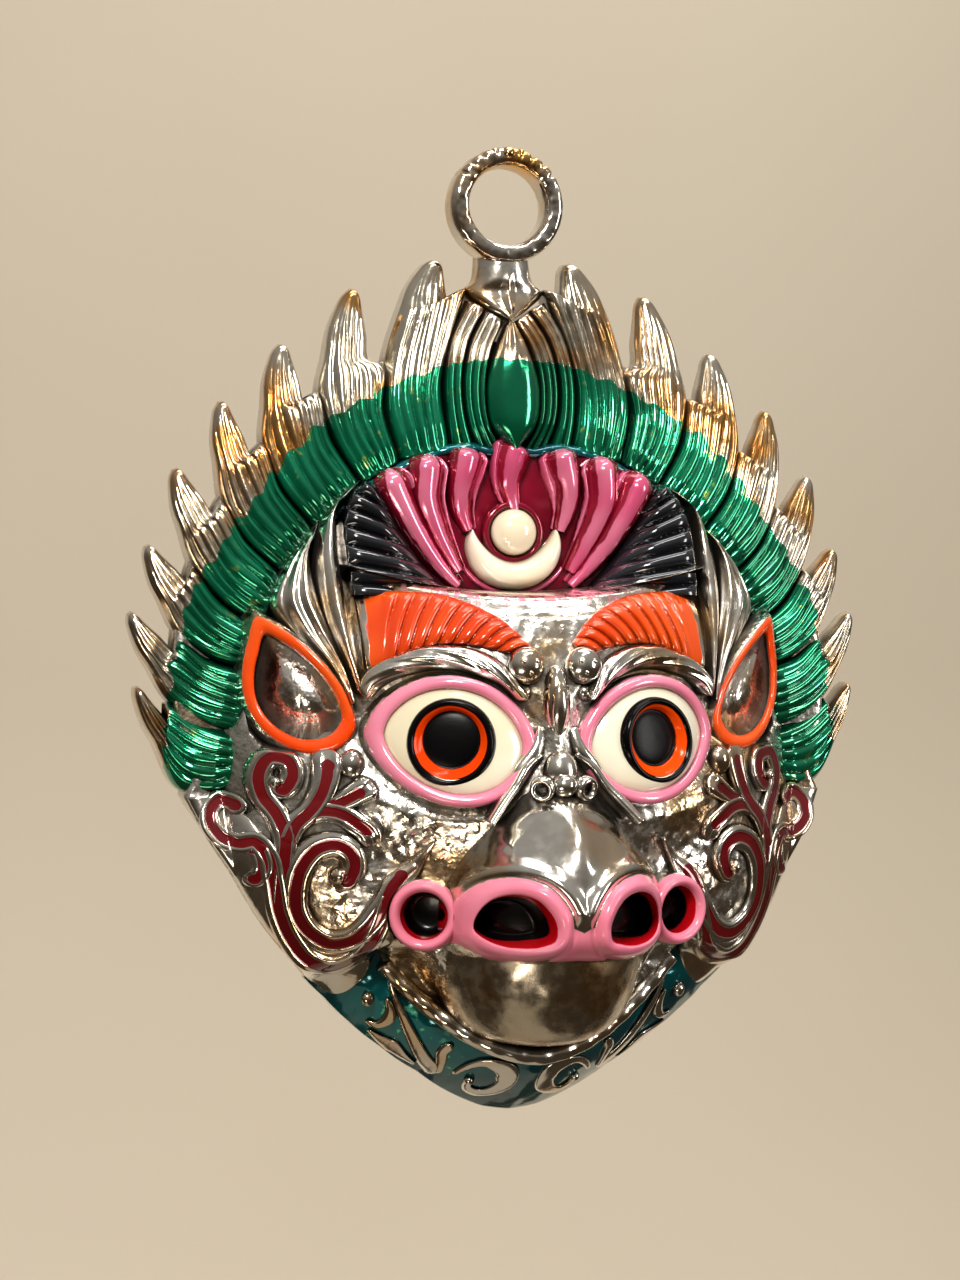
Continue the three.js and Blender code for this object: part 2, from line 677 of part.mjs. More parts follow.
// The joins leave short edges and thin faces. A short edge is closed up to one point, and a thin face gives
// its longest edge to its neighbour, each only where the skin stays closed and no face turns over.
function smoothedFaces(shape) {
  const mesh = shape.getMesh();
  const pointAt = (i) => new THREE.Vector3().fromArray(mesh.vertProperties, 3 * i);
  const faceAt = (i) => Array.from(mesh.triVerts.slice(3 * i, 3 * i + 3));
  const points = Array.from({ length: mesh.numVert }, (unused, i) => pointAt(i));
  const faces = Array.from({ length: mesh.numTri }, (unused, i) => faceAt(i));
  const facesAt = points.map(() => new Set());
  faces.forEach((face, i) => face.forEach((p) => facesAt[p].add(i)));
  const nextTo = (p) => new Set([...facesAt[p]].flatMap((i) => faces[i]).filter((q) => q !== p));
  const normal = ([p, q, r]) => points[q].clone().sub(points[p]).cross(points[r].clone().sub(points[p]));
  const length = (p, q) => points[p].distanceTo(points[q]);
  const edges = (face) => [[face[0], face[1]], [face[1], face[2]], [face[2], face[0]]];
  const height = (face) => normal(face).length() / Math.max(...edges(face).map(([p, q]) => length(p, q)));
  const keepsFacing = (before, after) => {
    const [n0, n1] = [normal(before), normal(after)];
    return n0.dot(n1) > 0.5 * n0.length() * n1.length() || height(before) < thinnestFace;
  };
  const notThinner = (before, after) => height(after) > Math.min(thinnestFace, height(before));
  const drop = (i) => {
    faces[i].forEach((p) => facesAt[p].delete(i));
    faces[i] = null;
  };
  function closeEdge(keep, gone) {
    const shared = [...facesAt[gone]].filter((i) => facesAt[keep].has(i));
    const others = nextTo(gone);
    if (shared.length !== 2 || [...nextTo(keep)].filter((p) => others.has(p)).length !== 2) return false;
    const moved = [...facesAt[gone]].filter((i) => !facesAt[keep].has(i));
    const after = moved.map((i) => faces[i].map((p) => (p === gone ? keep : p)));
    const sound = (face, n) => keepsFacing(faces[moved[n]], face) && notThinner(faces[moved[n]], face);
    if (!after.every(sound)) return false;
    shared.forEach(drop);
    moved.forEach((i, n) => {
      faces[i] = after[n];
      facesAt[keep].add(i);
    });
    facesAt[gone].clear();
    return true;
  }
  function turnEdge(i) {
    const [p, q] = edges(faces[i]).sort((a, b) => length(...b) - length(...a))[0];
    const r = faces[i].find((point) => point !== p && point !== q);
    const j = [...facesAt[p]].find((other) => other !== i && facesAt[q].has(other));
    const s = faces[j].find((point) => point !== p && point !== q);
    if (nextTo(r).has(s)) return;
    const pair = [[p, s, r], [s, q, r]];
    if (!pair.every((face) => notThinner(faces[i], face))) return;
    [i, j].forEach(drop);
    [i, j].forEach((k, n) => {
      faces[k] = pair[n];
      pair[n].forEach((point) => facesAt[point].add(k));
    });
  }
  for (let pass = 0; pass < 6; pass++) {
    faces.forEach((face, i) => {
      if (!face) return;
      const shortest = edges(face).sort((a, b) => length(...a) - length(...b))[0];
      const thin = height(face) < thinnestFace;
      if (thin) turnEdge(i);
      if (thin || length(...shortest) < shortestEdge) {
        closeEdge(...shortest) || closeEdge(...shortest.reverse());
      }
    });
  }
  const used = points.map((unused, p) => p).filter((p) => facesAt[p].size);
  const place = new Map(used.map((p, n) => [p, n]));
  return {
    points: used.flatMap((p) => points[p].toArray()),
    faces: faces.filter(Boolean).flat().map((p) => place.get(p)),
  };
}

function meshOf(name, shape, material) {
  const { points, faces } = smoothedFaces(shape);
  const geometry = new THREE.BufferGeometry();
  geometry.setAttribute('position', new THREE.Float32BufferAttribute(points, 3));
  geometry.setIndex(faces);
  const mesh = new THREE.Mesh(geometry, material);
  mesh.name = name;
  return mesh;
}

const barongMask = new THREE.Group();
barongMask.add(meshOf('mask', maskSolid(), castMetal));

export default barongMask;
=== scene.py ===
import math

import bpy
import numpy as np
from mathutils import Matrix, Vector


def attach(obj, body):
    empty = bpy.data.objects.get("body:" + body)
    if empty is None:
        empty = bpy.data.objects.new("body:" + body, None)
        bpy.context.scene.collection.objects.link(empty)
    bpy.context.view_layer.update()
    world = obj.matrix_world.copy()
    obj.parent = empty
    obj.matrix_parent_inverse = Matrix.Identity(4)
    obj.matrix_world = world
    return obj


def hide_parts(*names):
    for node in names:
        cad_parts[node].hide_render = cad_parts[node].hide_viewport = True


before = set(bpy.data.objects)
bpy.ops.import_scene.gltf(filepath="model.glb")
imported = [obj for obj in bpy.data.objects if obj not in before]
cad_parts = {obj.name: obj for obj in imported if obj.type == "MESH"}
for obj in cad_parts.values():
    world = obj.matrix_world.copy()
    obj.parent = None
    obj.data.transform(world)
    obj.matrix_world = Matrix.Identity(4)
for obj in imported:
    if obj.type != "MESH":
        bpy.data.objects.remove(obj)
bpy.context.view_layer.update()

# Every shape below is worked out in millimetres as (x, z, lift): across, up and away from the wall.
# place() turns that into the frame's metres, where the lift runs along -Y.
metre = 0.001
bodyName = "root"
castNode = "mask"
unpainted = -9.0
# Gap to the hollow back, least thickness, step at a plate's edge, open pole of an egg in radians, noise net
build = dict(backGap=0.5, thinnest=0.3, step=0.5, pole=0.02, noiseNet=64)
print("frame loaded")


def lerp(a, b, t):
    return a + (b - a) * t


def ease(start, end, value):
    # 0 before start, 1 after end and 3t^2 - 2t^3 between them
    t = np.clip((value - start) / (end - start), 0, 1)
    return t * t * (3 - 2 * t)


def hill(value, power=2.0, fall=0.5):
    # 1 in the middle and 0 at -1 and 1: (1 - |v|^power)^fall
    return np.clip(1 - np.abs(value) ** power, 0, 1) ** fall


def bell(value):
    # 1 in the middle, falling as e^(-v^2)
    return np.exp(-value * value)


def roundEnd(share, least=0.02):
    # Quarter circle: the root of 1 - (1 - v)^2 up to v = 1, or of least where that is more
    return np.sqrt(np.clip(1 - (1 - share).clip(0, 1) ** 2, least, 1))


def turns(count):
    return np.linspace(0, 2 * np.pi, count, endpoint=False)


def sheet(x, z, lift):
    # One array of points from a grid's three coordinates
    return np.stack(np.broadcast_arrays(x, z, lift), -1)


def flipped(points):
    # The same points on the other side of x = 0
    return [(-x, z, lift) for x, z, lift in points]


def curveThrough(points, count, closed=False):
    # Hermite curve through the points, by chord length, with the slope of the neighbours at each point
    p = np.asarray(points, float)
    if closed:
        p = np.vstack([p[-3:], p, p[:4]])
    s = np.concatenate([[0], np.cumsum(np.linalg.norm(np.diff(p, axis=0), axis=1))])
    m = np.gradient(p, s, axis=0)
    first, last = (s[3], s[-4]) if closed else (s[0], s[-1])
    t = np.linspace(first, last, count, endpoint=not closed)
    i = np.clip(np.searchsorted(s, t, side="right") - 1, 0, len(s) - 2)
    h = (s[i + 1] - s[i])[:, None]
    u = ((t - s[i])[:, None]) / h
    return ((2 * u**3 - 3 * u**2 + 1) * p[i] + (u**3 - 2 * u**2 + u) * h * m[i]
            + (3 * u**2 - 2 * u**3) * p[i + 1] + (u**3 - u**2) * h * m[i + 1])


def pebble(x, z, size, seed):
    # Smooth noise from -1 to 1: random heights on a square net of the given size, eased between
    count = build["noiseNet"]
    net = np.random.RandomState(seed).uniform(-1, 1, (count, count))
    a, b = x / size, z / size
    i, j = np.floor(a).astype(int), np.floor(b).astype(int)
    across, up = ease(0, 1, a - i), ease(0, 1, b - j)
    height = lambda right, above: net[(i + right) % count, (j + above) % count]
    return lerp(lerp(height(0, 0), height(1, 0), across), lerp(height(0, 1), height(1, 1), across), up)


def insideDistance(x, z, outline):
    # Distance in mm to a closed outline, positive inside it: nearest segment, sign by even crossings
    a = np.asarray(outline, float)
    b = np.roll(a, -1, axis=0)
    px, pz = np.ravel(x)[:, None], np.ravel(z)[:, None]
    dx, dz = (b - a)[:, 0], (b - a)[:, 1]
    t = np.clip(((px - a[:, 0]) * dx + (pz - a[:, 1]) * dz) / (dx * dx + dz * dz), 0, 1)
    gap = np.hypot(px - a[:, 0] - t * dx, pz - a[:, 1] - t * dz).min(axis=1)
    spans = (a[:, 1] > pz) != (b[:, 1] > pz)
    safe = np.where(dz == 0, 1e-9, dz)
    crosses = spans & (px < a[:, 0] + (pz - a[:, 1]) / safe * dx)
    sign = np.where(crosses.sum(axis=1) % 2 == 1, 1, -1)
    return (gap * sign).reshape(np.shape(x))


def place(points):
    # (x, z, lift) in millimetres to (x, -lift, z) in metres
    return np.stack([points[..., 0], -points[..., 2], points[..., 1]], -1) * metre


def skin(points, marks=None, wrapRows=False, hollow=True):
    # Rows along a shape and columns round it, closed round the columns; each end row shrinks to its middle.
    # The sign of the enclosed volume turns the faces outwards, and no piece reaches into the hollow back.
    rows, cols = points.shape[:2]
    if hollow:
        points = points.copy()
        ceiling = hollowCeiling(points[..., 0], points[..., 1])
        points[..., 2] = np.maximum(points[..., 2], ceiling + build["backGap"])
    index = np.arange(rows * cols).reshape(rows, cols)
    verts = place(points).reshape(-1, 3)
    marks = {mark: np.broadcast_to(v, (rows, cols)).ravel() for mark, v in (marks or {}).items()}
    tris = np.zeros((0, 3), int)
    if wrapRows:
        index = np.vstack([index, index[:1]])
    right = np.roll(index, -1, axis=1)
    if not wrapRows:
        top, foot = rows * cols, rows * cols + 1
        tris = np.vstack([
            np.stack([index[0], np.full(cols, top), right[0]], -1),
            np.stack([right[-1], np.full(cols, foot), index[-1]], -1),
        ])
        verts = np.vstack([verts, verts[:cols].mean(0), verts[-cols:].mean(0)])
        ends = lambda v: [v[:cols].mean(), v[-cols:].mean()]
        marks = {mark: np.concatenate([v, ends(v)]) for mark, v in marks.items()}
    quads = np.stack([index[:-1], right[:-1], right[1:], index[1:]], -1).reshape(-1, 4)
    solid = np.vstack([quads[:, [0, 1, 2]], quads[:, [0, 2, 3]], tris])
    a, b, c = verts[solid[:, 0]], verts[solid[:, 1]], verts[solid[:, 2]]
    if np.einsum("ij,ij->i", a, np.cross(b, c)).sum() < 0:
        quads, tris = quads[:, ::-1], tris[:, ::-1]
    return dict(verts=verts, quads=quads, tris=tris, marks=marks)


def mirrored(skins):
    # The same skins on the other side of the plane x = 0, turned outwards again
    return skins + [dict(verts=s["verts"] * [-1, 1, 1], quads=s["quads"][:, ::-1],
                         tris=s["tris"][:, ::-1], marks=s["marks"]) for s in skins]


def plate(front, foot, marks=None, under=7):
    # A front face closed by walls and an underside: foot is a lift, or a function of x and z
    rows, cols = front.shape[:2]
    pick = np.linspace(cols - 1, 0, under).round().astype(int)
    back = front[:, pick].copy()
    low = foot(back[..., 0], back[..., 1]) if callable(foot) else np.full(back.shape[:2], foot)
    back[..., 2] = np.minimum(low, back[..., 2] - build["thinnest"])
    rim = front[:, [cols - 1, 0]].copy()
    rim[..., 2] = np.maximum(rim[..., 2] - build["step"], lerp(back[:, [0, -1], 2], rim[..., 2], 0.5))
    points = np.concatenate([front, rim[:, :1], back, rim[:, 1:]], axis=1)
    full = {}
    for mark, value in (marks or {}).items():
        value = np.broadcast_to(value, (rows, cols))
        bare = np.full((rows, under), unpainted)
        full[mark] = np.concatenate([value, value[:, -1:], bare, value[:, :1]], axis=1)
    return skin(points, full)


def ribbon(edgeA, edgeB, rise, foot, rows=60, cols=41, marks=None):
    # Straight lines between two edge curves, lifted by rise(s, u): s runs 0 to 1 along, u -1 to 1 across
    a, b = curveThrough(edgeA, rows), curveThrough(edgeB, rows)
    s, u = np.linspace(0, 1, rows)[:, None], np.linspace(-1, 1, cols)[None, :]
    front = lerp(a[:, None], b[:, None], ((u + 1) / 2)[..., None])
    front[..., 2] += rise(s, u)
    return plate(front, foot, marks(s, u, front) if marks else None)


def disc(middle, across, up, out, radii, heights, cols=72, marks=None, wrap=False):
    # A profile of radii and heights turned about the out direction through the middle
    t = turns(cols)[None, :, None]
    r, h = np.asarray(radii, float)[:, None, None], np.asarray(heights, float)[:, None, None]
    points = np.asarray(middle, float) + r * (np.cos(t) * across + np.sin(t) * up) + h * out
    marks = {mark: np.asarray(v, float)[:, None] for mark, v in (marks or {}).items()}
    return skin(points, marks, wrapRows=wrap)


def ball(middle, sizes, rows=28, cols=48, marks=None):
    # An egg with the half sizes across, up and out, from pole to pole of the out direction
    v = np.linspace(build["pole"], np.pi - build["pole"], rows)[:, None]
    t = turns(cols)[None, :]
    x = middle[0] + sizes[0] * np.sin(v) * np.cos(t)
    z = middle[1] + sizes[1] * np.sin(v) * np.sin(t)
    return skin(sheet(x, z, middle[2] + sizes[2] * np.cos(v)), marks)


def tiltedAxes(sweep, lean):
    # Two directions in a plane whose lift grows by sweep across and by lean upwards, and its outward normal
    across = np.array([1, 0, sweep]) / math.hypot(1, sweep)
    up = np.array([0, 1, lean])
    up = up - across * up.dot(across)
    up = up / np.linalg.norm(up)
    out = np.array([-sweep, -lean, 1.0])
    return across, up, out / np.linalg.norm(out)


pieces = []
markNames = ("paint", "deep")


def makePiece(name, skins, material, sharp=None):
    # One object from many closed skins, with its place in its mesh
    starts = np.cumsum([0] + [len(s["verts"]) for s in skins])[:-1]
    quads = np.vstack([s["quads"] + n for s, n in zip(skins, starts)])
    tris = np.vstack([s["tris"] + n for s, n in zip(skins, starts)])
    verts = np.vstack([s["verts"] for s in skins])
    corners = np.concatenate([quads.ravel(), tris.ravel()])
    begins = np.concatenate([np.arange(len(quads)) * 4, quads.size + np.arange(len(tris)) * 3])
    mesh = bpy.data.meshes.new(name)
    mesh.vertices.add(len(verts))
    mesh.vertices.foreach_set("co", verts.ravel())
    mesh.loops.add(len(corners))
    mesh.loops.foreach_set("vertex_index", corners.astype(np.int32))
    mesh.polygons.add(len(begins))
    mesh.polygons.foreach_set("loop_start", begins.astype(np.int32))
    mesh.update(calc_edges=True)
    mesh.validate()
    for mark in markNames:
        values = [s["marks"].get(mark, np.full(len(s["verts"]), unpainted)) for s in skins]
        attribute = mesh.attributes.new(mark, "FLOAT", "POINT")
        attribute.data.foreach_set("value", np.concatenate(values).astype(np.float32))
    mesh.shade_smooth()
    if sharp:
        mesh.set_sharp_from_angle(angle=math.radians(sharp))
    mesh.materials.append(material)
    piece = bpy.data.objects.new(name, mesh)
    bpy.context.scene.collection.objects.link(piece)
    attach(piece, bodyName)
    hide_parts(castNode)
    pieces.append(piece)
    print("made", name, len(quads) * 2 + len(tris), "triangles")


# Materials: polished silver with warm tints, and dark tarnish together with painted shade in its recesses,
# and gloss enamel laid over it where the marks "paint" and "deep", in millimetres, say so.

def paintColor(code):
    # "#rrggbb" as the linear colour that Blender's sockets take
    rgb = [int(code[i:i + 2], 16) / 255 for i in (1, 3, 5)]
    return tuple(c / 12.92 if c <= 0.04045 else ((c + 0.055) / 1.055) ** 2.4 for c in rgb) + (1,)


def put(tree, kind, settings=None, **sockets):
    # Adds a node; i0, i1 ... are its inputs by number, and a socket given as a value is linked
    node = tree.nodes.new("ShaderNode" + kind)
    for key, value in (settings or {}).items():
        setattr(node, key, value)
    for key, value in sockets.items():
        socket = node.inputs[int(key[1:])] if key[1:].isdigit() else node.inputs[key.replace("_", " ")]
        if isinstance(value, bpy.types.NodeSocket):
            tree.links.new(value, socket)
        else:
            socket.default_value = value
    return node


def math2(tree, operation, a, b=0.0):
    return put(tree, "Math", {"operation": operation}, i0=a, i1=b).outputs[0]


def times(tree, a, b):
    return math2(tree, "MULTIPLY", a, b)


def blendColor(tree, factor, a, b):
    return put(tree, "Mix", {"data_type": "RGBA"}, i0=factor, i6=a, i7=b).outputs[2]


def blendValue(tree, factor, a, b):
    return put(tree, "Mix", {"data_type": "FLOAT"}, i0=factor, i2=a, i3=b).outputs[0]


def ranged(tree, value, low, high, toLow=0.0, toHigh=1.0):
    settings = {"interpolation_type": "SMOOTHSTEP"}
    return put(tree, "MapRange", settings, i0=value, i1=low, i2=high, i3=toLow, i4=toHigh).outputs[0]


def noise(tree, where, scale, detail=2.0, roughness=0.5):
    sockets = dict(Vector=where, Scale=scale, Detail=detail, Roughness=roughness)
    return put(tree, "TexNoise", None, **sockets).outputs[0]


# Lengths are in metres, scales per metre, and a pair gives the two ends of a change
# dark is the colour of the tarnish and of the painted shade in the folds
silver = dict(
    bright="#e2ddd3", warm="#cfa25a", dark="#352411", warmShare=0.55, warmAt=(0.44, 0.66), patches=62,
    rough=(0.10, 0.24), grainScale=420, grainAt=(0.3, 0.7), scratch=0.000012, scratchScale=1500,
    hammer=0.00010, hammerScale=330, patina=0.84, patinaReach=0.0042, patinaAt=(0.92, 0.40),
    patinaRough=0.42,
    patinaGrain=0.25, brushScale=520, brushWobble=0.5, coatRough=0.04)
# deep is the colour that pooled enamel and painted shade in the folds darken towards
enamel = dict(
    mark="paint", above=0.0, soft=0.12, wobble=1.0, toneAt=(0.35, 0.65), metal=0.0, rough=0.14, pooledShade=0.6,
    grain=0.35, fleckGlint=None, fleckGlintScale=330, fleckGlintAt=(0.62, 0.68), fleckGlintPatches=(0.5, 0.62),
    thin=None, streak=(900, 300, 160), streakAt=(0.5, 0.42))


def castMaterial(name, layers=(), coat=0.6, shine=0.5, **changes):
    # The silver with these changes, then each layer of enamel with its own changes, from below upwards
    look = dict(silver, **changes)
    material = bpy.data.materials.new(name)
    material.use_nodes = True
    tree = material.node_tree
    tree.nodes.clear()
    where = put(tree, "TexCoord").outputs["Object"]
    broad = noise(tree, where, look["patches"])
    grain = noise(tree, where, look["grainScale"], 3.0)
    fine = noise(tree, where, look["scratchScale"])
    relief = noise(tree, where, look["hammerScale"])
    # silver, tinted warm in broad patches
    warm = times(tree, ranged(tree, broad, *look["warmAt"]), look["warmShare"])
    color = blendColor(tree, warm, paintColor(look["bright"]), paintColor(look["warm"]))
    metal = 1.0
    rough = ranged(tree, grain, *look["grainAt"], *look["rough"])
    # dark tarnish and painted shade where the surface folds in, found by ambient occlusion
    open3d = put(tree, "AmbientOcclusion", {"samples": 8}, Distance=look["patinaReach"]).outputs["AO"]
    folded = math2(tree, "ADD", open3d, times(tree, grain, look["patinaGrain"]))
    hidden = ranged(tree, folded, *look["patinaAt"])
    color = blendColor(tree, times(tree, hidden, look["patina"]), color, paintColor(look["dark"]))
    rough = blendValue(tree, hidden, rough, look["patinaRough"])
    brush = math2(tree, "SUBTRACT", noise(tree, where, look["brushScale"], 1.0), 0.5)
    brush = times(tree, brush, look["brushWobble"])
    for changed in layers:
        layer = dict(enamel, **changed)
        edge = put(tree, "Attribute", {"attribute_name": layer["mark"]}).outputs["Fac"]
        edge = math2(tree, "ADD", edge, times(tree, brush, layer["wobble"]))
        cover = ranged(tree, edge, layer["above"] - layer["soft"], layer["above"] + layer["soft"])
        share = ranged(tree, broad, *layer["toneAt"])
        tone = blendColor(tree, share, paintColor(layer["color"]), paintColor(layer["second"]))
        # light flecks in broad patches: partly the enamel's own flecks, partly painted highlight
        if layer["fleckGlint"]:
            spots = ranged(tree, noise(tree, where, layer["fleckGlintScale"], 2.0, 0.6), *layer["fleckGlintAt"])
            spots = times(tree, spots, ranged(tree, broad, *layer["fleckGlintPatches"]))
            tone = blendColor(tree, spots, tone, paintColor(layer["fleckGlint"]))
        # the enamel darkens to its deep colour in the folds: pooled enamel and painted shade
        pooledShade = times(tree, hidden, layer["pooledShade"])
        tone = blendColor(tree, pooledShade, tone, paintColor(layer["deep"]))
        if layer["thin"]:
            # the brush runs dry here and the metal shows through in streaks
            stretched = put(tree, "Mapping", None, Vector=where, Scale=layer["streak"]).outputs[0]
            low, high = (at + layer["thin"] for at in layer["streakAt"])
            cover = times(tree, cover, ranged(tree, noise(tree, stretched, 1.0, 3.0), low, high))
        color = blendColor(tree, cover, color, tone)
        metal = blendValue(tree, cover, metal, layer["metal"])
        rough = blendValue(tree, cover, rough, layer["rough"])
        filled = times(tree, cover, 1 - layer["grain"])
        relief = times(tree, relief, math2(tree, "SUBTRACT", 1.0, filled))
    bumps = put(tree, "Bump", None, Strength=1.0, Distance=look["hammer"], Height=relief).outputs[0]
    bumps = put(tree, "Bump", None, Strength=1.0, Distance=look["scratch"], Height=fine,
                Normal=bumps).outputs[0]
    shader = put(tree, "BsdfPrincipled", None, Base_Color=color, Metallic=metal, Roughness=rough,
                 Normal=bumps,
                 Coat_Weight=coat, Coat_Roughness=look["coatRough"], Specular_IOR_Level=shine)
    tree.links.new(shader.outputs[0], put(tree, "OutputMaterial").inputs[0])
    return material


plainSilver = castMaterial("polished_silver", coat=0.0)
hammeredSilver = castMaterial("hammered_silver", coat=0.0, hammer=0.00030, hammerScale=520,
                              rough=(0.14, 0.34), warmShare=0.7)
crownEnamel = castMaterial("emerald_over_silver", [
    dict(color="#006b46", second="#0a8c64", deep="#001a14", fleckGlint="#8fb85e", metal=0.72, pooledShade=0.9,
         grain=0.8),
], coat=0.6, bright="#d3cab8", warmShare=0.9, warm="#d29a48")
tealEnamel = castMaterial("teal_over_silver", [
    dict(color="#014a55", second="#04696c", deep="#01141a", fleckGlint="#59c2a0", metal=0.5, rough=0.13,
         pooledShade=0.8, grain=0.6),
], coat=0.45)
crimsonEnamel = castMaterial("crimson_and_pink", [
    dict(mark="deep", above=-5.0, color="#a30f34", second="#8a0a28", deep="#2a0008", metal=0.45, pooledShade=0.75),
    dict(color="#d9557f", second="#e87f9f", deep="#8a1030", metal=0.3, rough=0.16, pooledShade=0.5),
], coat=0.8)
creamEnamel = castMaterial("cream_enamel", [
    dict(above=-5.0, color="#f2e8d2", second="#ebdcbc", deep="#7a5a30", rough=0.16, pooledShade=0.55, grain=0.25),
], coat=0.9)
hornEnamel = castMaterial("black_horn_enamel", [
    dict(above=-5.0, color="#0b0c0f", second="#1b1e24", deep="#020203", metal=0.3, rough=0.16, pooledShade=0.8),
], coat=0.9)
browEnamel = castMaterial("orange_brow_enamel", [
    dict(color="#dc3f06", second="#e8530e", deep="#5a1000", metal=0.15, rough=0.17, pooledShade=0.85, soft=0.35),
], coat=0.45)
earEnamel = castMaterial("orange_ear_enamel", [
    dict(color="#ff4a08", second="#ff5a18", deep="#7a1200", rough=0.15),
], coat=0.5, patina=0.5, hammer=0.00045, hammerScale=420, rough=(0.14, 0.32))
pinkEnamel = castMaterial("pink_enamel", [
    dict(color="#ea7f9b", second="#f08fa8", deep="#7e2038", rough=0.17),
    dict(mark="deep", color="#b40614", second="#c80d18", deep="#3a0004", metal=0.2, rough=0.12, pooledShade=0.3),
    dict(mark="deep", above=2.6, color="#070505", second="#0b0708", deep="#000000", rough=0.2, pooledShade=0.5,
         soft=0.5),
], coat=0.9)
eyeEnamel = castMaterial("eye_enamel", [
    dict(above=-20.0, color="#f3ecd4", second="#ece2c2", deep="#8a7440", rough=0.13, pooledShade=0.5, grain=0.2),
], coat=1.0)
irisEnamel = castMaterial("iris_enamel", [
    dict(above=-20.0, color="#020202", second="#040405", deep="#000000", rough=0.3, pooledShade=0.4, grain=0.2),
    dict(above=5.46, color="#f04c08", second="#e84006", deep="#8a1800", metal=0.05, pooledShade=0.5, wobble=0.2,
         soft=0.05, grain=0.2),
    dict(above=6.85, color="#040404", second="#070708", deep="#000000", rough=0.16, pooledShade=0.3, wobble=0.3,
         soft=0.06, grain=0.2),
], coat=0.0, shine=0.12)
scrollEnamel = castMaterial("maroon_scrolls", [
    dict(color="#74060f", second="#5c050c", deep="#1c0002", metal=0.25, rough=0.12, wobble=0.4, soft=0.08),
], coat=0.7)
print("materials ready")


# The face's ground: a dome with a ledge above the brows, sockets round the eyes and a moat under the jaw
face = dict(middle=-122, width=58, up=66, down=64, rise=36, top=45.5, round=0.9, ledge=-85, bend=0.004,
            fanLift=10.5, fanSlope=0.1, fanEdge=(4.5, 1.5), wall=3.0)
# Soft dents beside the muzzle and beside the eye, with their half sizes
dents = [dict(x=25, z=-134, wide=12, tall=9, depth=4.0), dict(x=39, z=-108, wide=8, tall=14, depth=3.5)]
socket = dict(depth=2.2, edge=(1.32, 0.95))
moat = dict(z=-140, wide=30, tall=33.5, lift=25.6, edge=(0.80, 0.93), below=(-150, -156), beside=(40, 30))
templeGround = dict(low=12.6, rise=14, down=(-66, -102), power=1.2, slope=0.9, slopeFrom=36,
                    inner=(31, 34.5),
                    foot=(-114, -108), middle=-108, rim=(53.0, 51.0))
earHollow = dict(x=45.4, z=-103.5, wide=8.2, tall=12.0, tilt=0.25, tiltAt=-104, depth=6.5, edge=(1.0, 0.82))
sidePocket = dict(x=24.6, z=-145.2, depth=7.5, edge=(6.4, 5.0))
eye = dict(x=19, z=-112.6, halfWidth=15, halfHeight=11.9, lift=41.6, sweep=-0.34, curl=-0.017, lean=-0.17,
           roll=0.07,
           point=1.18, cornerGrow=1.25)
iris = dict(x=20.4, z=-112.8, above=0.9, lean=0.6, pupilUp=0.65, pupilFrom=(6.5, 5.2), profile=[
    (8.6, -4.0), (8.4, -0.9), (8.2, -0.1), (7.9, 0.4), (7.5, 0.6), (7.2, 0.45), (6.95, 0.15), (6.8, -0.1),
    (6.7, -0.15), (6.4, -0.5), (6.0, -0.9), (5.7, -1.2), (5.5, -1.35), (5.42, -1.75), (5.35, -1.95),
    (5.0, -1.8), (4.0, -1.6), (2.6, -1.45), (1.3, -1.4), (0.05, -1.35)])


lowerEdge = [(65.1, -124), (60.6, -133), (57.3, -138), (51.5, -148), (43.8, -157.6), (38.6, -162.9),
             (33.4, -168), (27.2, -173), (19.4, -178.4), (11.4, -183.6), (5.4, -186.2), (0, -187)]
edgeLifts = np.array([(-187, 9.0), (-178, 12.0), (-168, 14.0), (-158, 15.2), (-138, 15.0), (-133, 14.0),
                      (-124, 10.5), (-110, 9.5), (-70, 5.5)])


def edgeLiftAt(z):
    # Lift of the shell's front edge: close to the wall at the crown and 15 mm off it beside the jaw
    return np.interp(z, edgeLifts[:, 0], edgeLifts[:, 1])


def domeLift(x, z):
    # The edge's lift plus a rise times (1 - x^2 - z^2)^round, with x and z in half sizes from the middle
    edge = edgeLiftAt(z)
    tall = np.where(z > face["middle"], face["up"], face["down"])
    inside = np.clip(1 - (x / face["width"]) ** 2 - ((z - face["middle"]) / tall) ** 2, 0, 1)
    return edge + np.minimum(face["rise"], face["top"] - edge) * inside ** face["round"]


def ledgeHeight(x):
    # The ledge over the brows rises towards the sides as bend x^2
    return face["ledge"] + face["bend"] * x * x


# Collar: a slope from a lip under the chin down to the edge
collar = dict(middle=-140, ends=66, bulge=2.4, underLip=1.4, underEdge=0.3, onEdge=(-0.10, 0.02),
              atEnds=(1.22, 1.12),
              lip=[(0, -173.6, 30.0), (7, -172.2, 29.4), (13, -169.4, 28.0), (19, -165.2, 26.2),
                   (24.4, -160.4, 24.6), (28.8, -155.6, 23.6)])


def collarPolar(x, z):
    # Angle round the collar's middle, the distance of the lip and of the edge there, the lip's lift, and how
    # far the point lies from the lip to the edge, 0 to 1
    middle = collar["middle"]
    turn = np.arctan2(np.abs(x), middle - z)
    lip, edge = np.array(collar["lip"]), np.array(lowerEdge[::-1])
    angle = lambda p: np.arctan2(p[:, 0], middle - p[:, 1])
    reach = lambda p: np.hypot(p[:, 0], p[:, 1] - middle)
    near = np.interp(turn, angle(lip), reach(lip))
    outer = np.interp(turn, angle(edge), reach(edge))
    height = np.interp(turn, angle(lip), lip[:, 2])
    return turn, near, outer, height, (np.hypot(x, z - middle) - near) / (outer - near)


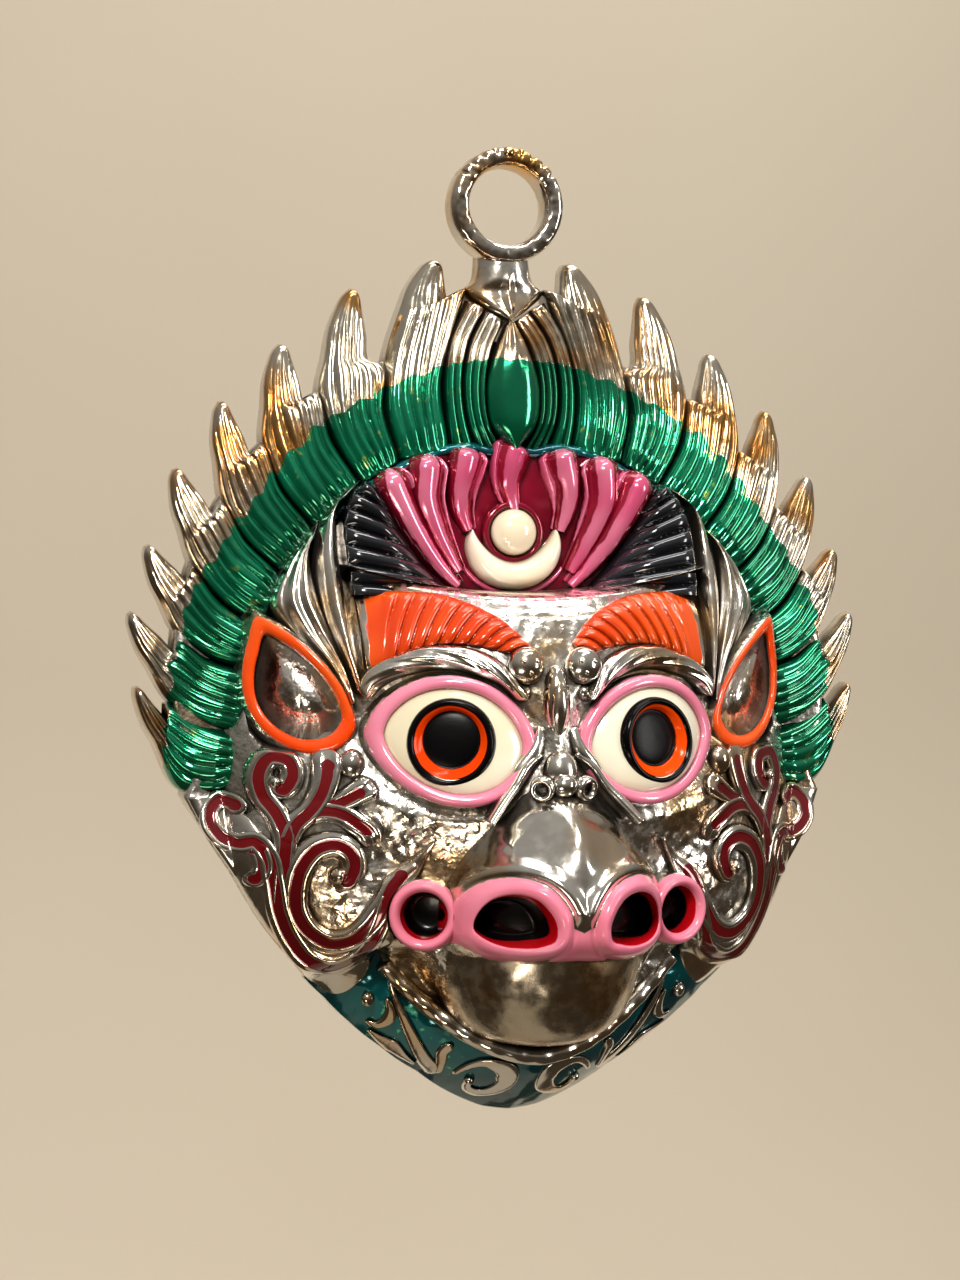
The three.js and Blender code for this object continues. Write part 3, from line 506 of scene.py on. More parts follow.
def collarLift(x, z):
    # A straight slope from the lip to the edge, plus a bulge times 1 - (2t - 1)^2
    turn, _, outer, height, t = collarPolar(x, z)
    t = np.clip(t, 0, 1)
    low = edgeLiftAt(collar["middle"] - outer * np.cos(turn)) - collar["underEdge"]
    return lerp(height - collar["underLip"], low, t) + collar["bulge"] * (1 - (2 * t - 1) ** 2)


def oval(x, z, shape):
    # Distance from an oval's middle, 1 on the oval
    return np.hypot((x - shape["x"]) / shape["wide"], (z - shape["z"]) / shape["tall"])


def moatCut(x, z, lift):
    # The moat between chin and collar is cut down to one lift
    near = np.hypot(x / moat["wide"], (z - moat["z"]) / moat["tall"])
    share = ease(*moat["edge"], near) * ease(*moat["below"], z) * ease(*moat["beside"], x)
    return lerp(lift, np.minimum(lift, moat["lift"]), share)


def collarCut(x, z, lift):
    # The ground under the collar stays a millimetre below its slope
    turn, _, _, _, t = collarPolar(x, z)
    share = ease(*collar["onEdge"], t) * ease(*collar["atEnds"], turn)
    return lerp(lift, np.minimum(lift, collarLift(x, z) - 1.0), share)


def fanCut(x, z, lift):
    # Above the ledge the ground drops to the fan's floor
    start, end = (ledgeHeight(x) - below for below in face["fanEdge"])
    return lerp(lift, np.minimum(lift, face["fanLift"] + face["fanSlope"] * x), ease(start, end, z))


def templeRise(x, z):
    # Ground under the temple locks: it climbs downwards and falls outwards, inside the rim
    t = templeGround
    fallen = t["slope"] * np.clip(x - t["slopeFrom"], 0, None)
    high = t["low"] + t["rise"] * ease(*t["down"], z) ** t["power"] - fallen
    inRim = ease(*t["rim"], np.hypot(x, z - t["middle"]))
    return high * ease(*t["inner"], x) * ease(*t["foot"], z) * inRim


def groundLift(x, z):
    # The dome less its dents: sockets, cheeks, moat, collar and fan, plus the temples, less ears and openings
    x = np.abs(x)
    lift = domeLift(x, z)
    eyeOval = dict(x=eye["x"], z=eye["z"], wide=eye["halfWidth"], tall=eye["halfHeight"])
    lift = lift - socket["depth"] * ease(*socket["edge"], oval(x, z, eyeOval))
    for dent in dents:
        lift = lift - dent["depth"] * bell(oval(x, z, dent))
    lift = fanCut(x, z, collarCut(x, z, moatCut(x, z, lift)))
    lift = np.maximum(lift, templeRise(x, z))
    tilted = x + earHollow["tilt"] * (z - earHollow["tiltAt"])
    lift = lift - earHollow["depth"] * ease(*earHollow["edge"], oval(tilted, z, earHollow))
    reach = np.hypot(x - sidePocket["x"], z - sidePocket["z"])
    return lift - sidePocket["depth"] * ease(*sidePocket["edge"], reach)


def under(x, z):
    # Lift of the undersides that rest inside the casting's wall
    return groundLift(x, z) - face["wall"]


# The casting's outline and hollow: crownEnd is in degrees from straight up, the tapers and rimFrom in radians
shell = dict(middle=(0, -118), rows=150, cols=460, crown=(67.0, 66.0, -100), crownEnd=108.5, taper=3.0,
             taperFrom=(1.62, 1.95), taperTo=(3.1, 2.65), rim=6, rimFrom=(1.35, 1.75), wall=4.6,
             inner=(51, 50, -108), levels=(0.64, 0.32, 0.08, 0.0), edgeRound=1.4, edgeShare=0.025,
             stipple=0.28, backStipple=0.25)


def ovalLine(halfWidth, halfHeight, middle, last, count):
    # Half an oval from its top down to the given angle
    a = np.radians(np.linspace(0, last, count))
    return np.stack([halfWidth * np.sin(a), middle + halfHeight * np.cos(a)], -1)


def outlineRadius(angles, points):
    # Distance from the shell's middle to a mirrored outline, at the given angles from straight up
    p = np.asarray(points, float) - shell["middle"]
    bearing = np.arctan2(p[:, 0], p[:, 1])
    order = np.argsort(bearing)
    return np.interp(np.abs(angles), bearing[order], np.hypot(p[:, 0], p[:, 1])[order])


def hollowEdge(turn):
    # The hollow keeps a rim's width inside the edge, and inside the fan's rim under the crown
    edge = shellBack(turn) - shell["rim"]
    inner = outlineRadius(turn, ovalLine(*shell["inner"], 180, 120))
    return lerp(np.minimum(edge, inner), edge, ease(*shell["rimFrom"], np.abs(turn)))


def shellEdge(turn):
    # The front edge: an oval round the crown, then the lower edge's curve
    crownEdge = ovalLine(*shell["crown"], shell["crownEnd"], 80)
    return outlineRadius(turn, np.vstack([crownEdge, curveThrough(lowerEdge, 60)]))


def shellBack(turn):
    # The back edge lies on the wall, a little inside the front edge beside the jaw
    away = np.abs(turn)
    beside = shell["taper"] * ease(*shell["taperFrom"], away) * ease(*shell["taperTo"], away)
    return shellEdge(turn) - beside


def hollowCeiling(x, z):
    # Lift of the hollow's inside: the ground less the wall, falling to the flat back at the hollow's edge
    dx, dz = x - shell["middle"][0], z - shell["middle"][1]
    share = np.hypot(dx, dz) / hollowEdge(np.arctan2(dx, dz))
    inside = np.maximum(groundLift(x, z) - shell["wall"], 0.5)
    return inside * ease(1.0, 0.93, share) - 1.0 * (share >= 1)


def hammered(x, z):
    # Punched dots: full between the brows and on the cheeks, a quarter elsewhere
    stipple = pebble(x, z, 1.5, 3) * 0.6 + pebble(x, z, 0.8, 4) * 0.4
    away = np.abs(x)
    cheek = ease(14, 24, away) * ease(-118, -126, z)
    between = ease(14, 8, away) * ease(-99, -95, z)
    return shell["stipple"] * stipple * lerp(0.25, 1.0, np.clip(cheek + between, 0, 1))


def shellSkin():
    # Polar grid: the front from the middle outwards, the edge wall, the flat back rim, and the hollow inwards
    turn = np.linspace(-np.pi, np.pi, shell["cols"], endpoint=False)[None, :]
    edge, back, hollow = shellEdge(turn), shellBack(turn), hollowEdge(turn)

    def polar(radius, lift):
        x = shell["middle"][0] + radius * np.sin(turn)
        z = shell["middle"][1] + radius * np.cos(turn)
        return sheet(x, z, lift(x, z))

    share = np.linspace(0.004, 1, shell["rows"])[:, None]
    rounding = shell["edgeRound"] * (1 - roundEnd((1 - share) / shell["edgeShare"], 0))
    front = polar(edge * share, lambda x, z: groundLift(x, z) + hammered(x, z) - rounding)
    level = np.array(shell["levels"])[:, None]
    wall = polar(lerp(back, edge, level), lambda x, z: level * edgeLiftAt(z))
    rim = polar(lerp(back, hollow, np.array([[0.02], [0.5], [1.0]])), lambda x, z: 0 * x)
    inwards = np.concatenate([np.linspace(0.998, 0.92, 10), np.linspace(0.90, 0.01, 44)])[:, None]
    rough = lambda x, z: shell["backStipple"] * pebble(x, z, 3.0, 5) * ease(1.0, 0.9, inwards)
    inside = polar(hollow * inwards, lambda x, z: hollowCeiling(x, z) + rough(x, z))
    return skin(np.concatenate([front, wall, rim, inside], axis=0), hollow=False)


makePiece("cast_shell", [shellSkin()], hammeredSilver, sharp=50)


# The ledge and forehead: a profile from the fan's floor over the ledge and down the dome, carried across
# Each profile point: distance above the ledge, lift, and 1 where the lift counts from the dome instead
forehead = dict(halfWidth=36, rows=150, domeTop=34, wash=1.6, washAbove=-1.0, washEnd=(24, 36),
                profile=[(0.9, 6, 0), (0.7, 14, 0), (0.3, 24, 0), (0.0, -4.5, 1), (-0.5, -2.2, 1),
                         (-1.5, -0.7, 1), (-3.2, 0.1, 1), (-6.0, 0.35, 1), (-9.0, 0.3, 1),
                         (-13.0, -1.8, 1)])


def foreheadSkin():
    # The profile's curve carried across, its lower part riding on the dome, with punched dots in the middle
    points = [(up, lift + onDome * forehead["domeTop"], onDome) for up, lift, onDome in forehead["profile"]]
    profile = curveThrough(points, 70)
    x = np.linspace(-forehead["halfWidth"], forehead["halfWidth"], forehead["rows"])[:, None]
    ledge = ledgeHeight(x)
    z = ledge + profile[:, 0]
    dome = domeLift(x, np.minimum(z, ledge - 2.0)) - 1.0
    lift = profile[:, 1] + np.clip(profile[:, 2], 0, 1) * (dome - forehead["domeTop"])
    middle = ease(15, 6, np.abs(x)) * ease(ledge - 3, ledge - 7, z)
    stipple = pebble(x, z, 1.6, 9) * 0.5 + pebble(x, z, 0.9, 10) * 0.3
    lift = np.maximum(lift + stipple * middle, groundLift(x, z) - 1.5)
    outside = 3 * ease(*forehead["washEnd"], np.abs(x))
    wash = forehead["wash"] - np.abs(z - ledge - forehead["washAbove"]) - outside
    return plate(sheet(x, z, lift), under, {"paint": wash})


foreheadSilver = castMaterial("washed_silver", [
    dict(above=0.3, color="#d98a92", second="#c87a84", deep="#6a3038", metal=0.6, rough=0.2, soft=1.4,
         thin=0.02, pooledShade=0.4, grain=1.0),
], coat=0.2, hammer=0.00016, hammerScale=300)
makePiece("forehead", [foreheadSkin()], foreheadSilver)
print("ground ready")


# Flame crown: fluted locks, each between two grooves that run from the fan's rim to a notch and on to a tip
crown = dict(
    tips=[(13.6, -18.4, 4.5), (30.0, -24.4, 2.6), (44.4, -35.6, 2.4), (56.5, -47.1, 2.6),
          (65.6, -60.4, 2.8), (71.2, -75.4, 3.2), (74.6, -88.5, 3.6), (73.6, -102.9, 5.5)],
    notches=[(8.0, -24.0), (25.0, -39.2), (38.3, -45.1), (49.4, -55.6), (57.3, -67.0), (63.2, -79.6),
             (65.9, -93.4), (68.0, -105.6), (65.1, -123.6)],
    roots=[(12.3, -56.5), (22.7, -58.7), (30.3, -63.5), (40.0, -72.0), (46.4, -80.8), (50.6, -91.6),
           (53.4, -99.6), (55.0, -112.0), (57.0, -123.2)],
    flutes=[5, 6, 6, 6, 6, 5, 5, 5], rootLift=10.2, notchLift=6.0, bow=0.07, hornBow=0.045, fluteDepth=0.95,
    fluteFade=(0.95, 0.66), heights=(3.4, 2.6), foot=0.35, budSide=(13.4, -44.0), middle=-108, greenUntil=0.9,
    horn=[(0.20, 0.37), (0.50, 0.305), (0.75, 0.215), (0.92, 0.135), (1.0, 0.05)])
greenEdge = [(0, -38.7), (6, -39.0), (13.3, -40), (20, -42.3), (26, -45), (34, -49.3), (40, -53.3),
             (46.7, -60.7), (51.3, -66.7), (55, -71.3), (58.7, -77.7), (64, -86), (65.3, -91.3),
             (67.3, -98), (67.7, -105.3), (68.5, -124)]


def greenPaint(x, z, seed):
    # Distance in mm inside the line where the green ends, measured from the middle of the crown
    line = np.asarray(greenEdge, float) - (0, crown["middle"])
    reach = np.interp(np.arctan2(np.abs(x), z - crown["middle"]), np.arctan2(line[:, 0], line[:, 1]),
                      np.hypot(line[:, 0], line[:, 1]))
    return reach - np.hypot(x, z - crown["middle"]) + 0.35 * pebble(x, z, 2.2, seed)


def grooveEdge(k, tip, side):
    # A lock's edge: root, bowed middle, notch, then points beside the bowed axis from the notches to the tip
    root, notch = np.array(crown["roots"][k]), np.array(crown["notches"][k])
    run = notch - root
    middle = (root + notch) / 2 + crown["bow"] * np.array([run[1], -run[0]])
    if side < 0 and k == 0:
        middle = np.array(crown["budSide"])
    first = k if side < 0 else k - 1
    start, end = np.array(crown["notches"][first]), np.array(crown["notches"][first + 1])
    base = start + (end - start) / 2
    axis = np.array(tip[:2]) - base
    length = np.linalg.norm(axis)
    out = np.array([axis[1], -axis[0]]) / length
    breadth = abs((end - start).dot(out))
    rootLift, notchLift = crown["rootLift"], crown["notchLift"]
    edge = [(*root, rootLift), (*middle, lerp(rootLift, notchLift, 0.45)),
            (*lerp(notch, base, 0.05), notchLift)]
    for share, width in crown["horn"]:
        along = base + share * axis + crown["hornBow"] * 4 * share * (1 - share) * length * out
        edge.append((*(along + side * width * breadth * out), lerp(notchLift, tip[2] - 1.6, share)))
    return edge


def flameLock(k):
    # A superelliptic hill across, with round flutes between sharp grooves |sin|^0.62 that fade at the tip
    tip, count = crown["tips"][k], crown["flutes"][k]

    def rise(s, u):
        warp = u + 0.06 * np.sin(2.6 * u + k) + 0.035 * np.sin(9 * s + 4 * u + 2 * k) * hill(u, 4)
        flute = np.abs(np.sin(np.pi * count * (warp + 1) / 2)) ** 0.62
        depth = crown["fluteDepth"] * ease(*crown["fluteFade"], s) * ease(0.0, 0.05, s)
        depth = depth * (1 + 0.25 * np.sin(5 * u + 11 * s + k))
        body = lerp(*crown["heights"], s) * hill(u, 2.6, 0.62) * lerp(0.75, 1.0, ease(0, 0.12, s))
        return (body + depth * (flute - 0.6)) * roundEnd((1 - s) / 0.06, 0)

    def marks(s, u, front):
        streak = 0.5 * np.sin(7.1 * u + 2.3 * k)
        green = greenPaint(front[..., 0], front[..., 1], 20 + k) + streak
        return {"paint": np.where(s < crown["greenUntil"], green, -3)}

    edges = [grooveEdge(k, tip, -1), grooveEdge(k + 1, tip, 1)]
    return ribbon(*edges, rise, crown["foot"], rows=84, cols=count * 9 + 8, marks=marks)


makePiece("flame_locks", mirrored([flameLock(k) for k in range(8)]), crownEnamel)


# Lotus bud under the ring: a plain middle petal with fluted petals folded round it
bud = dict(middle=[(0.25, -30.2, 9.5), (3.3, -36.5, 11.0), (5.4, -45, 12.0), (4.6, -51.5, 12.2),
                   (0.4, -57.0, 11.0)],
           nearIn=[(0.9, -31.2, 8.0), (3.5, -36, 9.5), (5.2, -45, 10.6), (4.5, -51.5, 11.0),
                   (1.5, -56.6, 10.0)],
           nearOut=[(4.6, -28.6, 7.0), (8.2, -35, 8.6), (9.9, -44, 9.8), (9.2, -51, 10.4),
                    (7.2, -56.6, 9.8)],
           farOut=[(8.2, -26.6, 5.6), (12.0, -34.5, 7.4), (13.5, -43.5, 8.8), (13.3, -50, 9.6),
                   (12.5, -56.6, 9.6)])


def budSkins():
    # Hills between the petals' edges: plain in the middle, with flutes |sin|^0.6 on the folded ones
    def paint(s, u, front):
        return {"paint": greenPaint(front[..., 0], front[..., 1], 31) + 0.25 * np.sin(6 * u)}

    def smooth(s, u):
        wave = 0.25 * ease(0.5, 0.1, s) * np.cos(9 * u)
        return 3.6 * hill(u, 2.2, 0.55) * lerp(0.45, 1, ease(0, 0.3, s)) + wave

    def fluted(count):
        def rise(s, u):
            flute = np.abs(np.sin(np.pi * count * (u + 1) / 2)) ** 0.6
            return 2.0 * hill(u + 0.1 * (1 - u * u), 2.4, 0.6) + 1.0 * (flute - 0.5) * ease(0, 0.06, s)
        return rise

    petal = lambda edgeA, edgeB, rise, cols: ribbon(edgeA, edgeB, rise, crown["foot"], 70, cols, paint)
    core = petal(flipped(bud["middle"]), bud["middle"], smooth, 45)
    near = petal(bud["nearIn"], bud["nearOut"], fluted(3), 43)
    far = petal(bud["nearOut"], bud["farOut"], fluted(2), 35)
    return [core] + mirrored([near, far])


makePiece("lotus_bud", budSkins(), crownEnamel)


# Hanging ring with short notches round its top, a bead, and a flared stem with a crease down its middle
ring = dict(z=-7.7, hole=7.7, outer=11.6, back=1.0, front=9.4, squareness=0.62, notchStep=14.0,
            notchWidth=0.13, notchDepth=0.6, notchesTo=(66, 60), notchesFrom=(9, 12), bead=(1.5, 1.35, 1.9),
            sideBead=(0.8, 1.4, 1.4), beadAt=(10.2, 8.2), sideBeadAt=(2.7, 9.9, 7.9),
            stem=[(5.2, -16.8, 3.6), (5.3, -19.5, 4.2), (5.9, -22.4, 4.4), (8.2, -24.6, 3.8),
                  (5.4, -27.6, 5.2), (0.3, -30.9, 8.2)])


def ringSkins():
    # A ring of squarish section, |cos|^0.62 by |sin|^0.62, with notches cut by bells over its top, and a stem
    # that is a hill across with a straight crease along its middle
    middleR, middleL = (ring["hole"] + ring["outer"]) / 2, (ring["back"] + ring["front"]) / 2
    halfR, halfL = (ring["outer"] - ring["hole"]) / 2, (ring["front"] - ring["back"]) / 2
    t, v = turns(220)[:, None], turns(44)[None, :]
    square = lambda c: np.sign(c) * np.abs(c) ** ring["squareness"]
    degrees = np.degrees(np.arctan2(np.sin(t), np.cos(t)))
    steps = degrees / ring["notchStep"] - np.round(degrees / ring["notchStep"])
    cut = bell(steps / ring["notchWidth"])
    cut = cut * ease(*ring["notchesTo"], np.abs(degrees)) * ease(*ring["notchesFrom"], np.abs(degrees))
    cut = cut * ease(-0.2, 0.7, np.cos(v)) * ease(-0.6, 0.2, np.sin(v))
    r = middleR + halfR * square(np.cos(v)) - 0.55 * cut
    rough = 0.12 * pebble(t * 9, v * 3, 1.0, 12)
    lift = middleL + halfL * square(np.sin(v)) - ring["notchDepth"] * cut + rough
    loop = skin(sheet(r * np.sin(t), ring["z"] + r * np.cos(t), lift), wrapRows=True)
    up, off = ring["beadAt"]
    bead = ball((0, ring["z"] + up, off), ring["bead"])
    away, up, off = ring["sideBeadAt"]
    sides = [ball((x, ring["z"] + up, off), ring["sideBead"]) for x in (-away, away)]

    def rise(s, u):
        crease = 0.9 * np.clip(1 - np.abs(u) * 5, 0, 1) * ease(0.15, 0.45, s)
        return 4.4 * hill(u, 2.2, 0.55) * lerp(1.0, 0.75, ease(0.7, 1, s)) + crease

    stem = ribbon(flipped(ring["stem"]), ring["stem"], rise, 0.6, rows=60, cols=51)
    return [loop, bead, stem] + sides


ringSilver = castMaterial("ring_silver", coat=0.0, warmShare=0.9, warm="#d8a552", hammer=0.00013,
                          hammerScale=260)
makePiece("hanging_ring", ringSkins(), ringSilver)


# Dark teal beading along the fan's rim
rimLine = [(0, -56.4), (5, -56.9), (8, -56.2), (12.7, -56.6), (16.4, -57.6), (21.3, -59.7), (27.3, -63),
           (33.3, -67.3), (40, -74), (44.7, -81.3), (48.7, -86.7), (51.3, -93.3), (53, -101.3),
           (53.6, -108.7), (56.3, -123.4)]
beading = dict(lifts=(10.6, 8.5), down=(-60, -124), halfWidth=1.25, height=2.3, waveHeight=0.2, waveRate=150,
               sink=2.0)


def spread(path, wide, cols):
    # A flat strip along a path: u from -1 to 1 times the half width, at right angles to the path
    tangent = np.gradient(path, axis=0)
    tangent /= np.linalg.norm(tangent, axis=1)[:, None]
    side = np.stack([tangent[:, 1], -tangent[:, 0]], -1)
    u = np.linspace(-1, 1, cols)[None, :]
    return u, path[:, None] + side[:, None] * (u * wide)[..., None]


def sweep(path, halfWidth, height, sink, rows, cols, marks=None):
    # A strip along a path of (x, z, lift), lifted by height(s, u), with a flat underside sunk below its edges
    p = curveThrough(path, rows)
    wide = np.broadcast_to(np.asarray(halfWidth, float).reshape(-1, 1), (rows, 1))
    u, flat = spread(p[:, :2], wide, cols)
    lift = p[:, 2:3] + height(np.linspace(0, 1, rows)[:, None], u)
    low = lift.min(axis=1, keepdims=True) - sink
    front = sheet(flat[..., 0], flat[..., 1], lift)
    return plate(front, lambda x, z: np.broadcast_to(low, x.shape), marks, under=2)


def beadingSkin():
    # A round-topped strip whose height waves along it as sin(waveRate s)
    path = [(x, z, lerp(*beading["lifts"], ease(*beading["down"], z))) for x, z in rimLine]
    rise = lambda s, u: beading["height"] * hill(u) + beading["waveHeight"] * np.sin(beading["waveRate"] * s)
    return sweep(path, beading["halfWidth"], rise, beading["sink"], rows=260, cols=15, marks={"paint": 4.0})


makePiece("rim_beading", mirrored([beadingSkin()]), tealEnamel)
print("crown ready")


# Fan over the brows: S-curved petals, pink along their crests and crimson in their grooves
fan = dict(
    lift=10.0, slope=0.09, height=4.9, lower=0.6, foot=8.0, widths=(3.6, 4.4, 4.0, 3.0, 1.8),
    widthsAt=(0, 0.12, 0.35, 0.7, 1), ends=(0.10, 0.14), crestAt=-0.10, lineAt=0.80, lineWidth=0.20,
    lineHeight=0.66, pinkCrest=0.42, pinkLine=0.11, worn=0.315, floorWidth=29, floorRise=0.35,
    floorTop=((0, -56.2), (12.7, -56.4), (21.3, -59.7), (29.0, -64.4)),
    paths=[
        [(0.6, -54.9), (-0.6, -58.4), (-1.2, -62.6), (-0.4, -66.2), (0.2, -68.4)],
        [(8.8, -56.0), (9.6, -59.6), (10.6, -63.8), (10.6, -67.8), (9.2, -72.4)],
        [(17.0, -57.4), (17.6, -61.4), (17.8, -66.0), (16.2, -71.0), (13.2, -77.0), (11.2, -80.4)],
        [(25.6, -60.4), (24.0, -64.8), (21.7, -69.4), (18.6, -74.6), (15.0, -79.4), (11.4, -83.2)]])


def fanPetal(n):
    # Across: a fat crest, hill(u + 0.1 (1 - u^2)), then a groove and a thin line on the fan's middle side
    side = 1 if n >= 0 else -1
    p = curveThrough([(side * x, z) for x, z in fan["paths"][abs(n)]], 90)
    s = np.linspace(0, 1, 90)[:, None]
    wide = np.interp(s, fan["widthsAt"], fan["widths"]) * roundEnd(s / fan["ends"][0])
    u, flat = spread(p, side * wide, 57)
    x, z = flat[..., 0], flat[..., 1]
    crest = hill(u - fan["crestAt"] * (1 - u * u), 1.9, 0.75)
    line = fan["lineHeight"] * hill((u - fan["lineAt"]) / fan["lineWidth"], 2.0, 0.6)
    height = fan["height"] * lerp(1.0, fan["lower"], ease(0.25, 1, s)) * np.maximum(crest, line)
    height = height * roundEnd(s / fan["ends"][1], 0.05)
    pink = np.maximum(fan["pinkCrest"] - np.abs(u - fan["crestAt"]),
                      fan["pinkLine"] - np.abs(u - fan["lineAt"]))
    worn = fan["worn"] * pebble(x * 0.5, z * 0.16, 1.0, 40 + n)
    front = sheet(x, z, fan["lift"] + fan["slope"] * np.abs(x) + height)
    return plate(front, fan["foot"], {"paint": pink * wide + worn, "deep": 3.0})


def fanFloor():
    # Crimson floor behind the petals: rows between the rim line and the ledge
    x = np.linspace(-fan["floorWidth"], fan["floorWidth"], 90)[:, None]
    z = lerp(np.interp(np.abs(x), *np.transpose(fan["floorTop"])), ledgeHeight(x) + 0.6,
             np.linspace(0, 1, 60)[None, :])
    lift = face["fanLift"] + face["fanSlope"] * np.abs(x) + fan["floorRise"] + 0.15 * pebble(x, z, 2.0, 14)
    return plate(sheet(x, z, lift), under, {"deep": 3.0})


makePiece("fan_petals", [fanPetal(n) for n in range(-3, 4)] + [fanFloor()], crimsonEnamel)


# Pearl in a crimson ring, and the crescent that cradles them with a crimson line under it
pearl = dict(z=-72.7, lift=12.4, sizes=(4.6, 4.6, 3.6), foot=8.5,
             ringLift=11.0, ringRadius=5.5, ringWidth=0.95, ringHeight=1.7)
crescent = dict(inner=5.7, outer=11.5, height=4.2, lift=11.2, first=172, last=368, tipPower=3.0)
outerLine = dict(inner=11.6, outer=12.8, height=1.2, lift=11.4, first=200, last=340, tipPower=6.0)


def pearlRing():
    # A half-round ring: a circle of ringWidth by ringHeight turned about the pearl
    t = turns(19)
    middle = (0, pearl["z"], pearl["ringLift"])
    radii = pearl["ringRadius"] + pearl["ringWidth"] * np.cos(t)
    marks = {"deep": np.full(19, 3.0), "paint": np.full(19, -1.0)}
    return disc(middle, *tiltedAxes(0, 0), radii, pearl["ringHeight"] * np.sin(t), marks=marks, wrap=True)


def crescentSkin(inner, outer, height, lift, first, last, tipPower, marks):
    # An arc between two circles, thinned to its tips by 1 - |s|^tipPower, more from inside than from outside
    a = np.radians(np.linspace(first, last, 110))[:, None]
    u = np.linspace(-1, 1, 31)[None, :]
    fat = (1 - np.abs(np.linspace(-1, 1, 110)[:, None]) ** tipPower).clip(0.02, 1)
    middle, half = (inner + outer) / 2, (outer - inner) / 2
    r = lerp(middle + half * fat * u, outer - half * (1 - fat * u), 0.5)
    top = lift + height * hill(u, 2.2, 0.5) * fat ** 0.4
    return plate(sheet(r * np.cos(a), pearl["z"] + r * np.sin(a), top), pearl["foot"], marks)


creamPieces = [
    ball((0, pearl["z"], pearl["lift"]), pearl["sizes"], marks={"paint": 3}),
    crescentSkin(**crescent, marks={"paint": 3.0}),
]
makePiece("pearl_and_crescent", creamPieces, creamEnamel)
setting = [pearlRing(), crescentSkin(**outerLine, marks={"paint": 3.0, "deep": 3.0})]
makePiece("pearl_setting", setting, crimsonEnamel)
print("fan ready")


# Horns: a stack of rounded slabs, blunt outside and drawn to a point inside, like overlapping scales
horn = dict(outer=[(30.2, -62.8, 12.5), (33.6, -66.4, 13.0), (35.0, -71, 14.0), (35.1, -78, 16.0),
                   (34.6, -85.2, 18.5)],
            inner=[(28.2, -63.6, 12.5), (25.8, -67.6, 13.4), (23.0, -73, 13.4), (18.9, -79.0, 13.2),
                   (13.6, -84.6, 13.4)],
            ribs=6.6, sweep=0.30, heights=(2.4, 6.2), crestAt=-0.18, slab=2.3, inwardSlab=0.35)


def hornRise(s, u):
    # A hill, blunt at the outer edge u = -1, plus slabs sin(pi p^0.7)^0.5 that climb and drop into a groove
    phase = horn["ribs"] * s ** 0.95 - horn["sweep"] * (u + 1) ** 1.5
    slab = np.sin(np.pi * (phase - np.floor(phase)) ** 0.7) ** 0.5
    hump = hill((u - horn["crestAt"]) / (1 + abs(horn["crestAt"])), 2.4, 0.6)
    body = lerp(*horn["heights"], ease(0, 0.9, s)) * hump * ease(0, 0.06, s) ** 0.5
    inward = lerp(1.0, horn["inwardSlab"], ease(0.2, 1.0, u))
    return body + horn["slab"] * (slab - 0.5) * inward * hill(u, 8, 0.7)


blackAll = lambda s, u, front: {"paint": 3.0}
hornSkin = ribbon(horn["outer"], horn["inner"], hornRise, under, rows=190, cols=51, marks=blackAll)
makePiece("horns", mirrored([hornSkin]), hornEnamel)


# Temple locks: silver strands between horn and ear, running down to the eye's outer corner
temple = dict(
    height=3.2, fold=0.42,
    strands=[([(30.8, -62.8, 12.0), (35.0, -66.0, 12.5), (36.4, -74, 15), (36.0, -84, 20), (35.6, -94, 25),
               (35.0, -102, 29)],
              [(33.6, -65.4, 12.0), (38.4, -70.0, 12.5), (40.6, -77, 14.2), (40.4, -86, 18.6),
               (38.0, -96, 23.5), (35.6, -103.4, 27.5)], 1),
             ([(39.2, -71.0, 12.0), (41.4, -76, 14.0), (41.0, -84, 17.5), (39.0, -92, 21.5),
               (37.0, -99, 25.5), (35.8, -105, 28)],
              [(41.2, -73.2, 11.5), (46.2, -80, 13.0), (48.9, -87, 14.0), (46.2, -92.6, 16.0),
               (40.8, -99.4, 21), (36.6, -106.4, 26)], 3)])


def strand(edgeA, edgeB, count):
    # A smooth leaf, hill(u) across, with soft folds cos(pi count u) along it
    def rise(s, u):
        fold = np.cos(np.pi * count * (u + 0.18 * np.sin(3.4 * s + count)))
        fold = temple["fold"] * fold * ease(0, 0.2, s) * ease(1, 0.8, s) * hill(u, 4)
        return temple["height"] * hill(u, 2.4, 0.6) * ease(0, 0.08, s) ** 0.5 + fold
    return ribbon(edgeA, edgeB, rise, under, rows=90, cols=61)


makePiece("temple_locks", mirrored([strand(*each) for each in temple["strands"]]), plainSilver)


# Brows: a crescent of slanted ribs, with a worn plain patch at the outer end
brow = dict(top=[(34.2, -85.6), (30.5, -84.6), (24.5, -84.5), (18.5, -85.2), (12.5, -87.4), (8.0, -90.2),
                 (4.4, -94.2)],
            low=[(33.6, -99.8), (29.6, -98.2), (25.4, -96.2), (20.2, -94.9), (14.0, -95.2), (9.4, -96.2),
                 (5.6, -96.9)],
            ribs=11.0, slant=0.8, height=3.1, ribHeight=1.5, sunk=0.6, above=0.2, plain=(0.10, 0.2))


def onBrow(points):
    # The points with the lift of the forehead's dome, or of the ground where that is higher
    lift = lambda x, z: float(np.maximum(domeLift(x, min(z, ledgeHeight(x) - 2)), groundLift(x, z)))
    return [(x, z, lift(x, z) + brow["above"]) for x, z in points]


def browRise(s, u):
    # A hill across with slanted ribs |sin|^0.5 over it, from where the plain patch ends
    phase = brow["ribs"] * s - 0.9 + brow["slant"] * (u + 0.25 * (1 - u * u))
    rib = (np.abs(np.sin(np.pi * phase)) ** 0.5 - 0.55) * ease(*brow["plain"], s) * hill(u, 7, 0.8)
    return brow["height"] * hill(u, 2.6, 0.55) * lerp(0.9, 0.75, s) + brow["ribHeight"] * rib - brow["sunk"]


